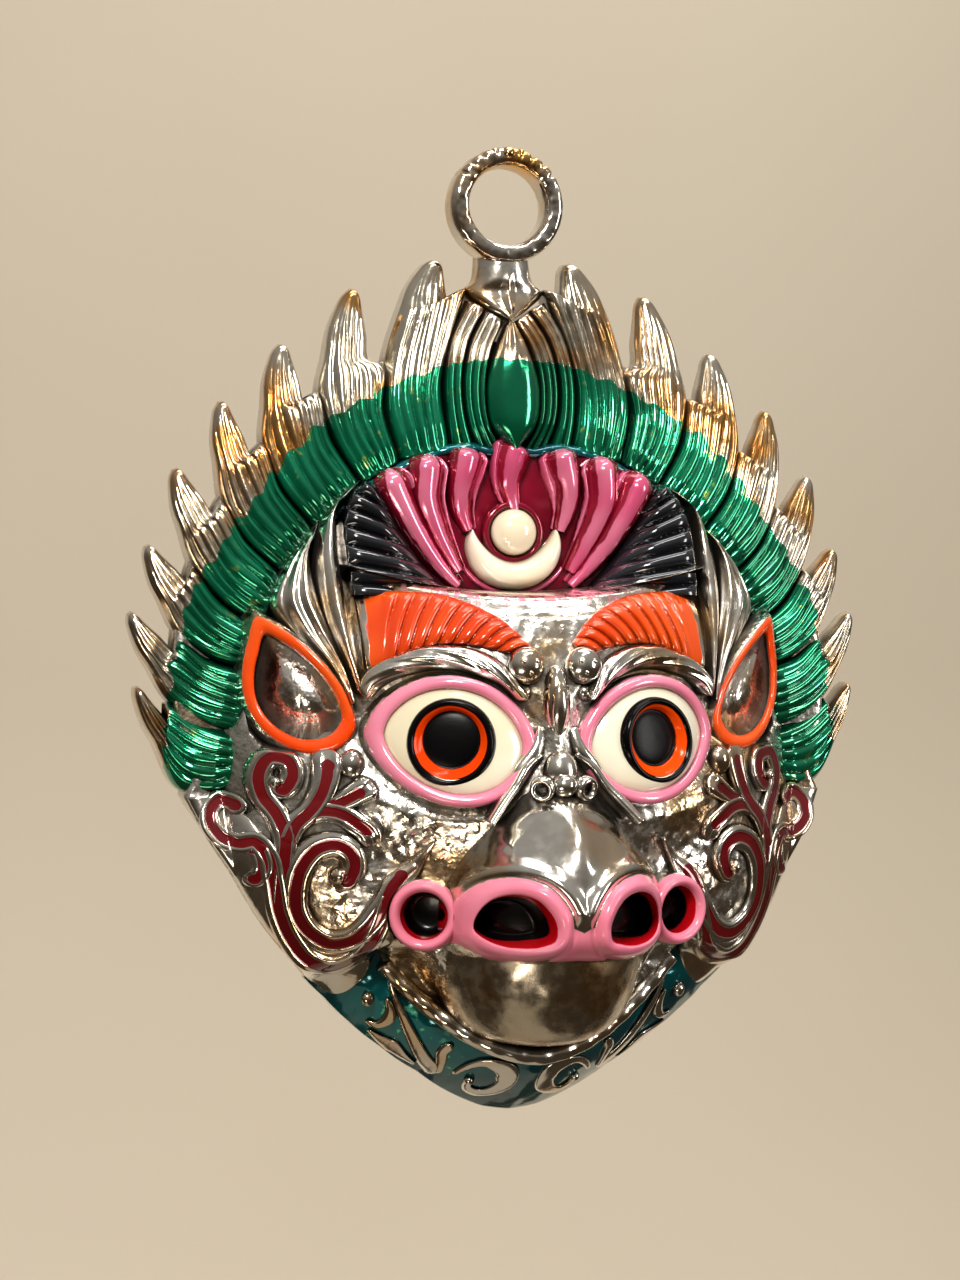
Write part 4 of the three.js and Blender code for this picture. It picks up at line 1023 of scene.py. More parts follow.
def browMarks(s, u, front):
    # The paint wears off towards the outer end, in streaks along the ribs
    worn = 2.6 * ease(0.0, 0.10, s) + 0.9 * pebble(front[..., 0] * 2.5, front[..., 1] * 0.35, 1.0, 17) - 0.7
    return {"paint": np.minimum(worn, 3.0)}


browEdges = [onBrow(brow["top"]), onBrow(brow["low"])]
browSkin = ribbon(*browEdges, browRise, under, rows=170, cols=41, marks=browMarks)
makePiece("brows", mirrored([browSkin]), browEnamel)


# Lid ridges and the knots that end them beside the bridge
ridge = dict(
    path=[(34.2, -104.6), (33.2, -102.2), (30.4, -99.9), (26.7, -98.3), (20.5, -97.1), (14.5, -98.0),
          (10.2, -100.3), (7.6, -103.2), (6.2, -104.9)],
    sunk=(1.6, 0.4), sunkFrom=34, sunkOver=22, halfWidths=(2.0, 2.5), inner=0.62, height=3.0,
    knot=((5.6, -98.6, 41.4), (3.5, 3.6, 3.4)), curl=((6.0, -103.6, 40.2), (1.9, 1.9, 2.4)),
    dots=dict(x=5.6, z=-98.4, lift=44.2, radius=0.6, across=1.5, up=1.4, angles=(0.5, 2.6, 4.6)))


def ridgeSkins():
    # A round-topped roll over the eye, narrower at its inner end, a knot with three dots, and a small curl
    inwards = lambda x: np.clip((ridge["sunkFrom"] - x) / ridge["sunkOver"], 0, 1)
    path = [(x, z, float(domeLift(x, z)) - lerp(*ridge["sunk"], inwards(x))) for x, z in ridge["path"]]
    s = np.linspace(0, 1, 150)
    wide = lerp(*ridge["halfWidths"], np.sin(np.pi * s) ** 0.5) * roundEnd(s / 0.05)
    wide = wide * lerp(1.0, ridge["inner"], ease(0.72, 0.95, s)) * roundEnd((1 - s) / 0.04)
    rise = lambda t, u: ridge["height"] * hill(u) + 0.12 * np.sin(31 * t + 9 * u) * hill(u, 4)
    roll = sweep(path, wide, rise, 3.0, rows=150, cols=27)
    dots = ridge["dots"]
    around = lambda a: (dots["x"] + dots["across"] * math.cos(a), dots["z"] + dots["up"] * math.sin(a))
    small = [ball((*around(a), dots["lift"]), [dots["radius"]] * 3, rows=10, cols=16)
             for a in dots["angles"]]
    return [roll, ball(*ridge["knot"]), ball(*ridge["curl"])] + small


makePiece("lid_ridges", mirrored(ridgeSkins()), plainSilver)
print("brows ready")


# Eyes: a convex almond in a tilted plane, a raised pink lid round it and a stepped iris
def eyeLift(x, z):
    # A plane through the eye's middle that sweeps back outwards, bent by curl dx^2
    dx, dz = x - eye["x"], z - eye["z"]
    return eye["lift"] + eye["sweep"] * dx + eye["curl"] * dx * dx + eye["lean"] * dz


def almond(angle, grow):
    # Pointed oval: cosine across, a power of the sine up, grown by a margin that is wider at the corners
    c, s = np.cos(angle), np.sin(angle)
    x = eye["x"] + (eye["halfWidth"] + eye["cornerGrow"] * grow) * c
    z = eye["z"] + (eye["halfHeight"] + grow) * np.sign(s) * np.abs(s) ** eye["point"]
    return x, z + eye["roll"] * eye["halfWidth"] * c


# The lid's section: how far outside the almond and how far off the eye's plane
lid = dict(pinkTo=0.30, hidden=-2.7, section=[
    (-2.3, -2.6), (-2.25, -0.9), (-2.1, 0.0), (-1.8, 0.6), (-1.3, 0.95), (-0.8, 1.0), (-0.3, 0.8),
    (0.1, 0.3), (0.3, -0.3), (0.4, -1.2), (0.7, -2.8), (1.3, -6.0), (0.2, -8.0), (-1.6, -8.0)])


def lidSkin():
    # The section carried round the almond
    grow, off = np.transpose(lid["section"])
    x, z = almond(turns(200)[:, None], grow)
    paint = np.where(off < lid["hidden"], -3.0, lid["pinkTo"] - grow)
    return skin(sheet(x, z, eyeLift(x, z) + off), {"paint": paint}, wrapRows=True)


# The white between the lid and the iris
white = dict(inset=-1.8, innerRadius=6.9, sunk=0.7, bulge=1.5, deep=5)


def scleraSkin():
    # Rings from the lid to the iris, bulging as 1 - t^2 towards the iris, closed behind
    a = turns(180)[None, :]
    t = np.linspace(1, 0, 26)[:, None]
    x, z = almond(a, white["inset"])
    x = lerp(iris["x"] + white["innerRadius"] * np.cos(a), x, t)
    z = lerp(iris["z"] + white["innerRadius"] * np.sin(a), z, t)
    front = sheet(x, z, eyeLift(x, z) - white["sunk"] + white["bulge"] * (1 - t * t))
    back = front[[-1, 0]] - (0, 0, white["deep"])
    return skin(np.concatenate([front, back], 0), {"paint": 1.0}, wrapRows=True)


def irisSkin():
    # A stepped profile turned about the eye's outward direction; the pupil sits above the ring's middle
    axes = tiltedAxes(eye["sweep"] + 2 * eye["curl"] * (iris["x"] - eye["x"]), eye["lean"] * iris["lean"])
    middle = np.array([iris["x"], iris["z"], eyeLift(iris["x"], iris["z"]) + iris["above"]])
    radii, heights = np.transpose(iris["profile"])
    turned = disc(middle, *axes, radii, heights, cols=128, marks={"paint": radii})
    up = place(axes[1])
    far = np.concatenate([np.repeat(radii, 128), radii[[0, -1]]])
    turned["verts"] = turned["verts"] + (ease(*iris["pupilFrom"], far) * iris["pupilUp"])[:, None] * up
    return turned


makePiece("eye_lids", mirrored([lidSkin()]), pinkEnamel)
makePiece("eye_whites", mirrored([scleraSkin()]), eyeEnamel)
makePiece("irises", mirrored([irisSkin()]), irisEnamel)


# Ears: a teardrop dish in a raised orange rim
ear = dict(
    x=45.6, z=-104, lift=22.6, sweep=-0.82, curl=-0.02, orange=(0.74, 0.985), dish=0.765, dishSunk=1.0,
    dishDepth=2.7,
    outline=[(52.2, -88.9), (53.9, -94), (54.8, -100), (54.2, -106), (50.4, -112.2), (44, -115.6),
             (38.4, -114.6), (35.4, -110.8), (36.6, -105), (39.9, -99.4), (44.4, -94.4), (48.8, -90.8)],
    section=[(1.10, -7.0), (1.08, -3.0), (1.05, -1.4), (1.02, -0.4), (0.99, 0.1), (0.955, 0.8),
             (0.92, 1.15), (0.87, 1.25), (0.82, 1.1), (0.78, 0.7), (0.755, 0.1), (0.74, -0.8), (0.73, -2.2),
             (0.73, -5.0)])


def earSkins():
    # The outline shrunk towards its middle by each scale of the section, on a plane that sweeps back, and a
    # dish in it that is a hill turned upside down
    p = curveThrough(ear["outline"], 180, closed=True)
    middle = np.array([ear["x"], ear["z"]])

    def ringsAt(scale, height):
        xz = middle + (p - middle)[:, None] * np.asarray(scale)[None, :, None]
        dx = xz[..., 0] - ear["x"]
        plane = ear["lift"] + ear["sweep"] * dx + ear["curl"] * dx ** 2
        return sheet(xz[..., 0], xz[..., 1], plane + height(xz[..., 0], xz[..., 1]))

    scale, height = np.transpose(ear["section"])
    low, high = ear["orange"]
    paint = np.where((scale < high) & (scale > low), 1.0, -1.0)
    rimSkin = skin(ringsAt(scale, lambda x, z: height), {"paint": paint}, wrapRows=True)
    k = np.linspace(ear["dish"], 0.02, 30)
    bowl = -ear["dishSunk"] - ear["dishDepth"] * hill(k / ear["dish"], 2.2, 0.8)
    front = ringsAt(k, lambda x, z: bowl + 0.8 * pebble(x, z, 1.2, 21) * ease(0.76, 0.6, k))
    back = front[:, [-1, 0]] - (0, 0, 3)
    dishSkin = skin(np.concatenate([front, back], 1).transpose(1, 0, 2), {"paint": -3.0})
    return [rimSkin, dishSkin]


makePiece("ears", mirrored(earSkins()), earEnamel)
print("eyes ready")


# Round openings beside the muzzle, turned outwards
sideHole = dict(x=25.1, z=-145.2, lift=40.2, turnOut=-0.42, lean=0.05, pinkTo=6.8, redTo=4.7, redStart=-0.3,
                profile=[
    (6.9, -9.0), (6.85, -2.0), (6.6, -0.3), (6.2, 0.6), (5.7, 0.95), (5.2, 0.8), (4.8, 0.35), (4.5, -0.3),
    (4.35, -1.2), (4.2, -2.6), (4.0, -5.0), (3.8, -6.6), (2.5, -7.0), (0.05, -7.1)])

# Muzzle: half-round slices widening downwards, with nostril pockets, pink rims and a pinched ridge
muzzle = dict(slices=[(-114, 3.4, 42.8), (-118, 5.0, 43.6), (-121, 6.6, 45.6), (-124, 9.0, 49.6),
                      (-128, 12.6, 54.2), (-132, 15.6, 57.8), (-137, 18.9, 60.2), (-141, 20.5, 61.0),
                      (-145, 20.9, 61.4), (-148.6, 20.9, 60.9), (-151.6, 19.9, 58.1), (-153.3, 18.0, 53.2),
                      (-153.4, 16.0, 46.0)],
              nostril=[(17.9, -147.2), (17.4, -143.6), (15.2, -140.9), (11.8, -139.9), (8.4, -140.8),
                       (6.0, -143.3), (4.9, -146.4), (5.4, -148.6), (8.0, -149.7), (11.6, -150.0),
                       (15.2, -149.3)],
              pinch=(-146, -126), powers=(2.5, 1.9), falls=(0.55, 0.70),
              pocket=9.0, pocketEdge=(-0.15, 2.0),
              # rings round each nostril as (height, distance inside its outline, half width)
              rim=(1.3, -1.3, 1.35), groove=(-0.5, -3.0, 0.5), bead=(1.5, -4.6, 1.5), beadFrom=(-147, -143),
              cleft=0.9, cleftWidth=3.0, cleftFrom=(-143, -147), pinkRim=2.9,
              septum=dict(wide=5.4, top=-147.0, slope=0.5, low=-152.6, share=0.8),
              # black inside the nostrils, more towards their tops, and behind the side openings is painted
              # shade
              corner=dict(x=19.6, z=-147.0, reach=3.3), redFrom=0.15, blackShare=(1.3, 4.0),
              blackFrom=(-148.8, -146.2), blackSlope=0.12, holeShadeReach=5.0,
              # bumps and dents as (height, x, half width, z, half height)
              bumps=[(1.3, 0, 2.6, -130, 6.5), (-0.9, 6.5, 3.2, -131, 6)],
              wrinkles=dict(bend=0.022, z=-122.5, height=0.22, rate=1.7, middle=-2.5, reach=3.4,
                            across=(1.5, 5, 17, 13)))


def muzzleWrinkles(x, z):
    # Fine arcs across the top: waves of z + bend x^2 that fade out round one of them
    w = muzzle["wrinkles"]
    arc = z + w["bend"] * x ** 2 - w["z"]
    start, full, end, out = w["across"]
    fade = bell((arc - w["middle"]) / w["reach"]) * ease(start, full, x) * ease(end, out, x)
    return w["height"] * np.sin(arc * w["rate"]) * fade


def muzzleSkin():
    # Slices of base + (top - base) (1 - |u|^power)^fall, with a bead and a groove round each nostril; d is
    # the distance inside the nostril's outline
    slices = curveThrough(muzzle["slices"], 190)
    z, wide, top = (slices[:, i:i + 1] for i in range(3))
    u = np.sin(np.linspace(-1, 1, 231)[None, :] * np.pi / 2)
    x = np.abs(wide * u)
    pinch = ease(*muzzle["pinch"], z)
    base = np.minimum(domeLift(wide, z) - 2.5, top - 2.0)
    lift = base + (top - base) * hill(u, lerp(*muzzle["powers"], pinch), lerp(*muzzle["falls"], pinch))
    for height, at, halfWidth, atZ, halfHeight in muzzle["bumps"]:
        lift = lift + height * bell((x - at) / halfWidth) * bell((z - atZ) / halfHeight)
    lift = lift + muzzleWrinkles(x, z)
    d = insideDistance(x, z + 0 * x, curveThrough(muzzle["nostril"], 90, closed=True))
    ringed = lambda height, at, halfWidth: height * bell((d - at) / halfWidth)
    lift = lift + ringed(*muzzle["bead"]) * ease(*muzzle["beadFrom"], z) + ringed(*muzzle["groove"])
    lift = lift + ringed(*muzzle["rim"]) - muzzle["pocket"] * ease(*muzzle["pocketEdge"], d)
    lift = lift - muzzle["cleft"] * bell(x / muzzle["cleftWidth"]) * ease(*muzzle["cleftFrom"], z)
    # pink on the rims, between the nostrils and in the lower corners; red, then black, inside. The black is
    # painted shade: it fills the pockets' depths, reaches further out towards each nostril's top, and covers
    # the muzzle's wall seen through the side openings, where the holes would look dark.
    septum, corner = muzzle["septum"], muzzle["corner"]
    between = np.minimum(septum["top"] - z + septum["slope"] * x, z - septum["low"])
    between = np.minimum(septum["wide"] - x, between) * septum["share"]
    cornered = corner["reach"] - np.hypot(x - corner["x"], z - corner["z"])
    paint = np.maximum(np.maximum(muzzle["pinkRim"] + d, between), cornered)
    upperShade = ease(*muzzle["blackFrom"], z + muzzle["blackSlope"] * x)
    deep = (d - muzzle["redFrom"]) * lerp(*muzzle["blackShare"], upperShade)
    opening = muzzle["holeShadeReach"] - np.hypot(x - sideHole["x"], z - sideHole["z"])
    return plate(sheet(wide * u, z, lift), under, {"paint": paint, "deep": np.maximum(deep, 4 * opening)})


# The small nose over the muzzle; balls are (middle, half sizes)
bridge = dict(
    balls=[((0, -105.6, 42.2), (2.7, 7.2, 3.4)), ((0, -118.6, 45.2), (3.4, 4.4, 3.2)),
           ((0, -120.8, 47.6), (2.5, 2.3, 2.7))],
    nostril=dict(middle=(4.1, -121.3, 47.4), sweep=-0.5, lean=0.25, radius=1.75, halfWidth=0.7, height=1.5),
    wing=[(3.4, -115.0, 43.4), (6.4, -117.4, 44.4), (8.6, -120.6, 45.2), (11.6, -124.0, 47.0),
          (14.6, -127.6, 49.0)],
    fold=[(3.0, -110.0, 43.0), (4.2, -114.0, 43.6), (7.0, -118.0, 43.4), (9.6, -122.6, 43.0),
          (13.4, -127.0, 44.0)],
    crest=[(0, -100.6, 43.2), (0, -103, 44.6), (0, -107, 44.9), (0, -111, 43.6), (0, -113, 42.6)], sink=3.0)


def bridgeSkins():
    # A bump between the eyes with a crest, and a small nose of two eggs, ringed nostrils, wings and folds
    ringed = bridge["nostril"]
    t = turns(16)
    radii, heights = ringed["radius"] + ringed["halfWidth"] * np.cos(t), ringed["height"] * np.sin(t)
    axes = tiltedAxes(ringed["sweep"], ringed["lean"])
    nostril = disc(ringed["middle"], *axes, radii, heights, cols=40, wrap=True)

    def strip(name, halfWidth, height, rows):
        return sweep(bridge[name], halfWidth, height, bridge["sink"], rows=rows, cols=13)

    wing = strip("wing", 0.9, lambda s, u: 1.3 * hill(u), 40)
    foldWidth = lerp(0.8, 1.7, np.sin(np.linspace(0, np.pi, 60)))
    fold = strip("fold", foldWidth, lambda s, u: 1.6 * hill(u) * np.sin(np.pi * s) ** 0.5, 60)
    crestWidth = lerp(0.5, 1.6, np.sin(np.linspace(0.1, np.pi, 50)))
    crest = strip("crest", crestWidth, lambda s, u: 1.2 * hill(u, 2, 0.6), 50)
    return [ball(*each) for each in bridge["balls"]] + [crest] + mirrored([nostril, wing, fold])


# Its last, black layer is painted shade in the depths of the nostrils and side openings
muzzleEnamel = castMaterial("muzzle_enamel", [
    dict(color="#ec7f97", second="#ee8ba2", deep="#8a2a40", rough=0.17, pooledShade=0.45),
    dict(mark="deep", color="#b40614", second="#c80d18", deep="#4a0006", metal=0.2, rough=0.12, pooledShade=0.2),
    dict(mark="deep", above=2.35, color="#050304", second="#080506", deep="#000000", rough=0.25, pooledShade=0.5,
         soft=0.3),
], coat=0.12, shine=0.25, hammer=0.00006, hammerScale=210, warmShare=0.5)
makePiece("muzzle", [muzzleSkin()], muzzleEnamel)
makePiece("nose_bridge", bridgeSkins(), plainSilver)


def sideHoleSkin():
    # A rolled rim and a blind pocket, as one profile turned about an outward direction; the pocket's wall
    # runs from red to black with depth, the black being painted shade
    axes = tiltedAxes(sideHole["turnOut"], sideHole["lean"])
    radii, heights = np.transpose(sideHole["profile"])
    marks = {"paint": np.where(radii < sideHole["pinkTo"], 2.0, -1.0),
             "deep": np.where(radii < sideHole["redTo"], sideHole["redStart"] - heights, -2.0)}
    middle = (sideHole["x"], sideHole["z"], sideHole["lift"])
    return disc(middle, *axes, radii, heights, cols=96, marks=marks)


makePiece("side_openings", mirrored([sideHoleSkin()]), muzzleEnamel)


# Chin: a bowl under the muzzle, with a soft dent at either side
chin = dict(z=-149.5, drop=21.6, halfWidth=21.4, lift=26.2, rise=26.4, powers=(0.62, 0.52, 1.1), rough=0.22,
            dent=dict(x=15, z=-158, wide=2.6, tall=5, depth=0.8))


def chinSkin():
    # x = halfWidth cos(t)^0.62 sin(v), z = z - drop sin(t), lift = lift + rise cos(t)^0.52 cos(v)^1.1
    t = np.radians(np.linspace(0, 90, 90))[:, None]
    v = np.radians(np.linspace(-90, 90, 121))[None, :]
    c = np.cos(t).clip(0.01, 1)
    sidePower, downPower, acrossPower = chin["powers"]
    x = chin["halfWidth"] * c ** sidePower * np.sin(v)
    z = chin["z"] - chin["drop"] * np.sin(t) + 0 * v
    dent = chin["dent"]
    across = bell((np.abs(x) - dent["x"]) / dent["wide"])
    dented = dent["depth"] * across * bell((z - dent["z"]) / dent["tall"])
    lift = chin["lift"] + chin["rise"] * c ** downPower * np.cos(v) ** acrossPower
    return plate(sheet(x, z, lift - dented + chin["rough"] * pebble(x, z, 3.4, 24)), under)


chinSilver = castMaterial("chin_silver", coat=0.0, bright="#c4b8a4", warmShare=0.95, warm="#b98f58",
                          hammer=0.00016, hammerScale=150, rough=(0.18, 0.34))
makePiece("chin", [chinSkin()], chinSilver)
print("muzzle ready")


# Cheeks: a broad silver strap along the edge, and raised scrolls that carry a maroon line each
cheek = dict(
    strapHeight=1.7, strapRough=0.1,
    strapOut=[(64.7, -124.1), (60.3, -133.0), (57.0, -138.0), (51.3, -148.0), (43.8, -157.2),
              (40.4, -160.8), (37.0, -162.6), (33.4, -160.6), (30.8, -156.0), (29.2, -150.5),
              (27.6, -145.0), (25.4, -139.0), (22.4, -131.8)],
    strapIn=[(56.6, -123.4), (52.6, -129.6), (49.0, -135.6), (47.6, -142.6), (45.4, -148.8), (42.2, -151.8),
             (39.6, -152.4), (37.4, -151.6), (35.4, -149.2), (33.4, -145.8), (31.4, -141.6), (28.0, -136.4),
             (22.9, -131.6)],
    # points, half widths, height, half width of the enamel line, lift of the foot, gaps at the line's ends
    scrolls=[
        ([(55.2, -127.2), (56.6, -125.2), (58.8, -124.7), (60.5, -126.4), (60.6, -129.0), (58.9, -131.4),
          (55.9, -132.6), (53.4, -132.2), (51.4, -134.6), (50.2, -139.6), (49.0, -145.6), (46.5, -151.2),
          (43.4, -154.9), (39.2, -156.3), (35.4, -154.4), (32.4, -148.6), (31.0, -143.6), (30.2, -141.2)],
         (1.9, 2.0, 2.0, 2.0, 1.8), 0.9, 0.95, 1.5, (1.0, 0.6)),
        ([(24.9, -135.6), (27.6, -137.4), (29.8, -139.8), (31.4, -143.4), (33.7, -147.6), (36.6, -150.4),
          (40.0, -151.2), (43.6, -149.4), (46.0, -145.8), (46.6, -141), (45.6, -136.3), (43.0, -133.0),
          (39.8, -132.2), (37.2, -133.9), (36.7, -136.9), (38.1, -139.0), (40.0, -138.6)],
         (1.2, 2.5, 2.6, 2.5, 2.8, 2.2), 2.5, 1.02, 0.0, (3.0, 1.0)),
        ([(48.9, -147), (48.8, -140), (48.5, -134.6), (48.3, -131.0), (49.6, -127), (51.9, -123.2),
          (52.4, -119.3), (50.4, -116.1), (47.6, -116.6), (46.9, -119.8), (48.5, -122.1), (50.3, -120.9)],
         (1.9, 2.2, 2.4, 2.1), 2.4, 0.98, 0.0, (-1, 0.9)),
        ([(48.4, -133.2), (46.6, -128.8), (43.8, -125.6), (42.0, -122.4), (41.0, -118.6), (40.8, -114.0)],
         (1.9, 2.2, 3.1), 2.5, 0.95, 0.0, (-1, 2.3)),
        ([(42.2, -125.4), (40.6, -125.0), (38.2, -123.9), (35.8, -122.4), (32.6, -120.4)], (1.2, 2.2, 2.9),
         2.3, 0.88, 0.0, (1.2, 2.8)),
        ([(45.4, -127.4), (41.8, -126.0), (38.6, -126.6), (36.2, -128.2), (34.4, -129.6), (33.0, -132.6)],
         (1.8, 2.3, 2.5), 2.3, 0.92, 0.0, (-1, 2.4)),
        ([(53.4, -132.4), (52.3, -135.0), (52.1, -137.6), (53.2, -139.3), (55.0, -138.6)], (1.7, 1.8, 1.6),
         0.9, 0.85, 1.5, (-1, 0.8))],
    leaves=[((36.4, -117.2), (2.4, 3.0, 2.6)), ((39.3, -138.0), (1.7, 1.8, 3.4)),
            ((49.8, -120.7), (1.3, 1.4, 3.4))])


# Every raised band: its enamel line's channel, drop-shaped ends and joined starts, and its foot's depth
band = dict(lineDepth=0.55, lineWidth=1.15, drop=1.25, joined=90, joinedEase=(2.6, 1.3), foot=1.6)


def enamelLine(stripe, gaps, length, wide):
    # Half width of the line: a round drop at either end, a gap before the band ends. A first gap below zero
    # joins the line to another one instead.
    joined = gaps[0] < 0
    near = np.minimum(length - gaps[0] + (band["joined"] if joined else 0), length[-1] - gaps[1] - length)
    drop = band["drop"] * stripe
    bulb = np.sqrt(np.clip(drop ** 2 - (near - drop) ** 2, 0, None))
    half = np.where(near < 0, near, np.where(near < drop, bulb, np.maximum(stripe, bulb)))
    return np.maximum(half, wide * ease(*band["joinedEase"], length)) if joined else half


def drapedBand(points, widths, ground, height, stripe=None, base=0.0, gaps=(1.0, 1.0), power=2.4, cols=31):
    # A raised band, hill(u, power) across, on the ground under each of its points, with half-round ends; the
    # enamel line lies in a bell-shaped channel along its middle
    rows = max(60, 9 * len(points))
    p = curveThrough(points, rows)
    length = np.concatenate([[0], np.cumsum(np.linalg.norm(np.diff(p, axis=0), axis=1))])
    wide = np.interp(length / length[-1], np.linspace(0, 1, len(widths)), widths)
    end = roundEnd(np.minimum(length, length[-1] - length) / wide)[:, None]
    u, flat = spread(p, wide[:, None] * end, cols)
    x, z = flat[..., 0], flat[..., 1]
    lift = ground(x, z) + base + height * hill(u, power, 0.5) * end ** 0.5
    marks = None
    if stripe:
        off = u * wide[:, None] * end
        lift = lift - band["lineDepth"] * bell((off / (stripe * band["lineWidth"])) ** 2)
        marks = {"paint": enamelLine(stripe, gaps, length, wide)[:, None] - np.abs(off)}
    return plate(sheet(x, z, lift), lambda a, b: ground(a, b) - band["foot"], marks)


def strapSkin():
    # The strap drapes over the ground between its two edges, hill(u, 4) across
    outer, inner = curveThrough(cheek["strapOut"], 170), curveThrough(cheek["strapIn"], 170)
    u = np.linspace(-1, 1, 45)[None, :]
    flat = lerp(outer[:, None], inner[:, None], ((u + 1) / 2)[..., None])
    x, z = flat[..., 0], flat[..., 1]
    raised = cheek["strapHeight"] * hill(u, 4.0, 0.6) + cheek["strapRough"] * pebble(x, z, 3, 33)
    return plate(sheet(x, z, groundLift(x, z) + raised), under)


def cheekSkins():
    bands = [drapedBand(points, widths, groundLift, *rest) for points, widths, *rest in cheek["scrolls"]]
    leaves = [ball((x, z, float(groundLift(x, z))), sizes) for (x, z), sizes in cheek["leaves"]]
    return mirrored([strapSkin()] + bands + leaves)


makePiece("cheek_scrolls", cheekSkins(), scrollEnamel)


# Collar: the teal slope with its silver lip and raised silver scrollwork
def collarPlate():
    # Rays from the collar's middle, from just inside the lip to the edge, at the slope's lift
    turn = np.radians(np.linspace(-collar["ends"], collar["ends"], 190))[:, None]
    across, up = np.sin(turn), -np.cos(turn)
    near, outer = collarPolar(across, collar["middle"] + up)[1:3]
    r = lerp(near, outer, np.linspace(-0.02, 1, 60)[None, :])
    x, z = r * across, collar["middle"] + r * up
    foot = lambda a, b: np.minimum(under(a, b), collarLift(a, b) - face["wall"]).clip(0.4, None)
    return plate(sheet(x, z, collarLift(x, z) + 0.12 * pebble(x, z, 1.6, 27)), foot, {"paint": 2.0})


lip = dict(halfWidth=1.75, height=1.9, waveHeight=0.2, waveRate=90, sink=3.5)
works = dict(height=1.15, power=3.0, beadLift=0.5,
             beads=[(31.4, -162.7, (1.2, 1.5, 1.3)), (10.7, -179.5, (1.0, 1.0, 1.3))])
# Points and half widths of each scroll on the collar
scrollwork = dict(
    spiral=([(10.7, -179.5), (10.3, -181.4), (8.4, -182.5), (5.8, -181.9), (4.0, -179.9), (4.5, -177.4),
             (6.7, -175.9), (9.5, -175.4), (12.0, -176.4), (13.8, -178.2)],
            (0.7, 0.8, 1.1, 1.9, 2.2, 1.5, 0.9, 0.8, 0.5)),
    leaf=([(28.0, -157.8), (26.6, -162.4), (24.6, -166.6), (22.4, -170.7), (19.8, -174.8), (16.4, -178.4)],
          (0.35, 0.8, 1.1, 1.3)),
    branch=([(16.4, -178.4), (16.6, -175.6), (16.8, -173.1), (15.6, -171.6)], (0.9, 0.9, 1.1, 1.2)),
    curl=([(28.2, -162.4), (27.2, -165.0), (27.4, -167.0), (29.0, -168.2), (31.0, -167.4)],
          (0.3, 0.8, 1.25, 0.9, 0.3)),
    edgeLeaf=([(30.2, -169.4), (27.8, -171.2), (25.2, -172.9), (22.9, -174.9), (20.6, -176.6)],
              (0.25, 0.8, 1.3, 0.7, 0.3)))


def collarSkins():
    # A round-topped lip whose height waves along it as sin(waveRate s), and the raised scrolls
    lipPath = flipped(collar["lip"][:0:-1]) + collar["lip"]
    rise = lambda s, u: lip["height"] * hill(u) + lip["waveHeight"] * np.sin(lip["waveRate"] * s)
    rolled = sweep(lipPath, lip["halfWidth"], rise, lip["sink"], rows=200, cols=21)
    scrolls = [drapedBand(points, widths, collarLift, works["height"], power=works["power"], cols=17)
               for points, widths in scrollwork.values()]
    above = lambda x, z: float(collarLift(x, z)) + works["beadLift"]
    beads = [ball((x, z, above(x, z)), sizes) for x, z, sizes in works["beads"]]
    return [rolled] + mirrored(scrolls + beads)


makePiece("collar", [collarPlate()], tealEnamel)
makePiece("collar_scrollwork", collarSkins(), plainSilver)
print("cheeks and collar ready")


# Pale floor that curves up into a backdrop well behind the mask
stage = dict(floor=-0.62, back=1.15, front=0.50, sides=(-0.75, 1.15), top=1.6, bend=0.5,
             colors=("#d9ccb6", "#e2d6c2"), patches=3.0, rough=0.85)


def stageMesh():
    # A flat floor, a quarter circle and a wall, as one profile between two sides
    a = np.linspace(0, np.pi / 2, 24)
    bend = stage["bend"]
    curve = np.stack([stage["back"] - bend + bend * np.sin(a), stage["floor"] + bend * (1 - np.cos(a))], -1)
    profile = np.vstack([[stage["front"], stage["floor"]], curve, [stage["back"], stage["top"]]])
    rows = len(profile)
    verts = np.vstack([np.column_stack([np.full(rows, x), profile]) for x in stage["sides"]])
    faces = [(i, i + rows, i + rows + 1, i + 1) for i in range(rows - 1)]
    mesh = bpy.data.meshes.new("floor")
    mesh.from_pydata(verts.tolist(), [], faces)
    mesh.shade_smooth()
    mesh.materials.append(stageMaterial())
    floor = bpy.data.objects.new("floor", mesh)
    bpy.context.scene.collection.objects.link(floor)


def stageMaterial():
    material = bpy.data.materials.new("pale_floor")
    material.use_nodes = True
    tree = material.node_tree
    shader = tree.nodes["Principled BSDF"]
    where = put(tree, "TexCoord").outputs["Object"]
    tone = blendColor(tree, noise(tree, where, stage["patches"]), *map(paintColor, stage["colors"]))
    tree.links.new(tone, shader.inputs["Base Color"])
    shader.inputs["Roughness"].default_value = stage["rough"]
    return material


stageMesh()


# Camera at the photograph's angle: level, about 15 degrees to the viewer's left
camera = dict(lens=85, sensor=36, azimuth=-14.9, elevation=0.4, distance=0.6044,
              target=(-0.0042, -0.0025, -0.0940))


def addCamera():
    az, el = math.radians(camera["azimuth"]), math.radians(camera["elevation"])
    away = Vector((math.sin(az) * math.cos(el), -math.cos(az) * math.cos(el), math.sin(el)))
    data = bpy.data.cameras.new("camera")
    data.lens = camera["lens"]
    data.sensor_fit = "VERTICAL"
    data.sensor_height = camera["sensor"]
    data.clip_start = 0.01
    seat = bpy.data.objects.new("camera", data)
    seat.location = Vector(camera["target"]) + away * camera["distance"]
    seat.rotation_euler = (-away).to_track_quat("-Z", "Y").to_euler()
    bpy.context.scene.collection.objects.link(seat)
    bpy.context.scene.camera = seat


addCamera()


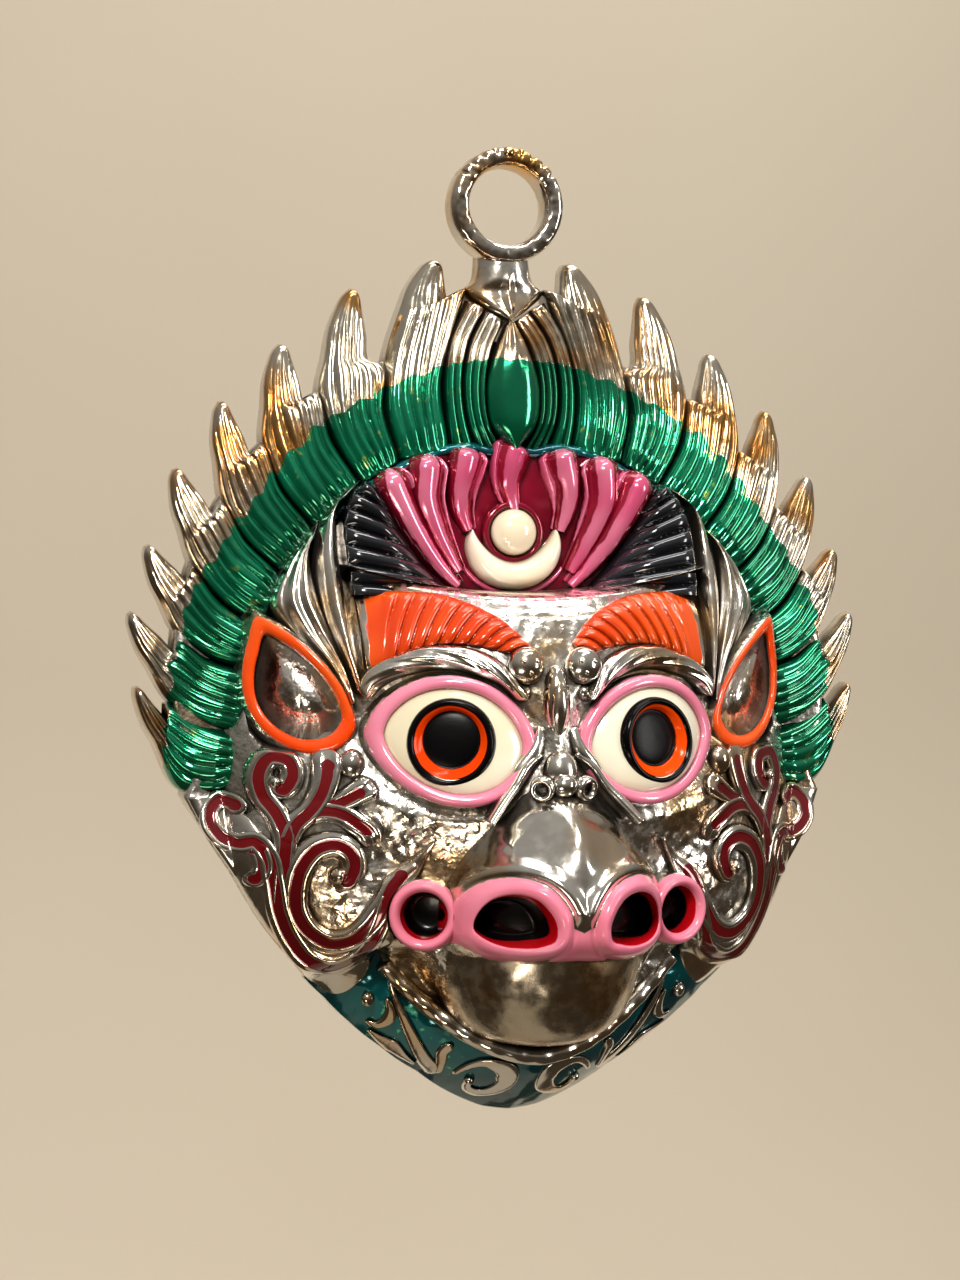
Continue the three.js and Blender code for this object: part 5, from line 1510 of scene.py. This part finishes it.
# Soft area lamps, aimed at the mask or, for the backdrop's own, at the backdrop
aims = dict(mask=(0, -0.03, -0.10), backdrop=(0, 0.9, -0.3))
lamps = [
    dict(name="key", at=(-0.30, -0.66, 0.44), size=(0.17, 0.17), watts=7.0, color=(1.0, 0.96, 0.90)),
    dict(name="fill", at=(0.80, -0.62, 0.05), size=(0.18, 0.5), watts=4.0, color=(1.0, 0.97, 0.94)),
    dict(name="top", at=(0.10, -0.20, 0.62), size=(0.6, 0.10), watts=2.6, color=(1.0, 0.98, 0.95)),
    dict(name="low", at=(-0.55, -0.55, -0.50), size=(0.30, 0.12), watts=1.3, color=(1.0, 0.88, 0.72)),
    dict(name="under", at=(-0.10, 0.05, -0.60), size=(0.70, 0.30), watts=0.24, color=(1.0, 0.86, 0.66)),
    dict(name="backdrop", at=(0.3, 0.50, 0.9), size=(1.2, 0.5), watts=7.0, color=(1.0, 0.98, 0.95),
         aim="backdrop"),
]


def addLamp(name, at, size, watts, color, aim="mask"):
    data = bpy.data.lights.new(name, "AREA")
    data.shape = "RECTANGLE"
    data.size, data.size_y = size
    data.energy = watts
    data.color = color
    lamp = bpy.data.objects.new(name, data)
    lamp.location = at
    lamp.rotation_euler = (Vector(aims[aim]) - Vector(at)).to_track_quat("-Z", "Y").to_euler()
    bpy.context.scene.collection.objects.link(lamp)


for lamp in lamps:
    addLamp(**lamp)


room = dict(low=(0.085, 0.062, 0.040, 1), high=(0.64, 0.61, 0.57, 1), heights=(-0.30, 0.85), strength=0.55)


def addWorld():
    # Warm room: dark brown below, paler above, so the polished metal has something to mirror
    world = bpy.data.worlds.new("studio")
    bpy.context.scene.world = world
    world.use_nodes = True
    tree = world.node_tree
    tree.nodes.clear()
    ray = put(tree, "TexCoord").outputs["Generated"]
    height = put(tree, "SeparateXYZ", None, Vector=ray).outputs[2]
    tone = blendColor(tree, ranged(tree, height, *room["heights"]), room["low"], room["high"])
    glow = put(tree, "Background", None, Color=tone, Strength=room["strength"])
    tree.links.new(glow.outputs[0], put(tree, "OutputWorld").inputs[0])


addWorld()
bpy.context.scene.view_settings.view_transform = "Standard"
print("stage and lights ready")

print("pieces", len(pieces))
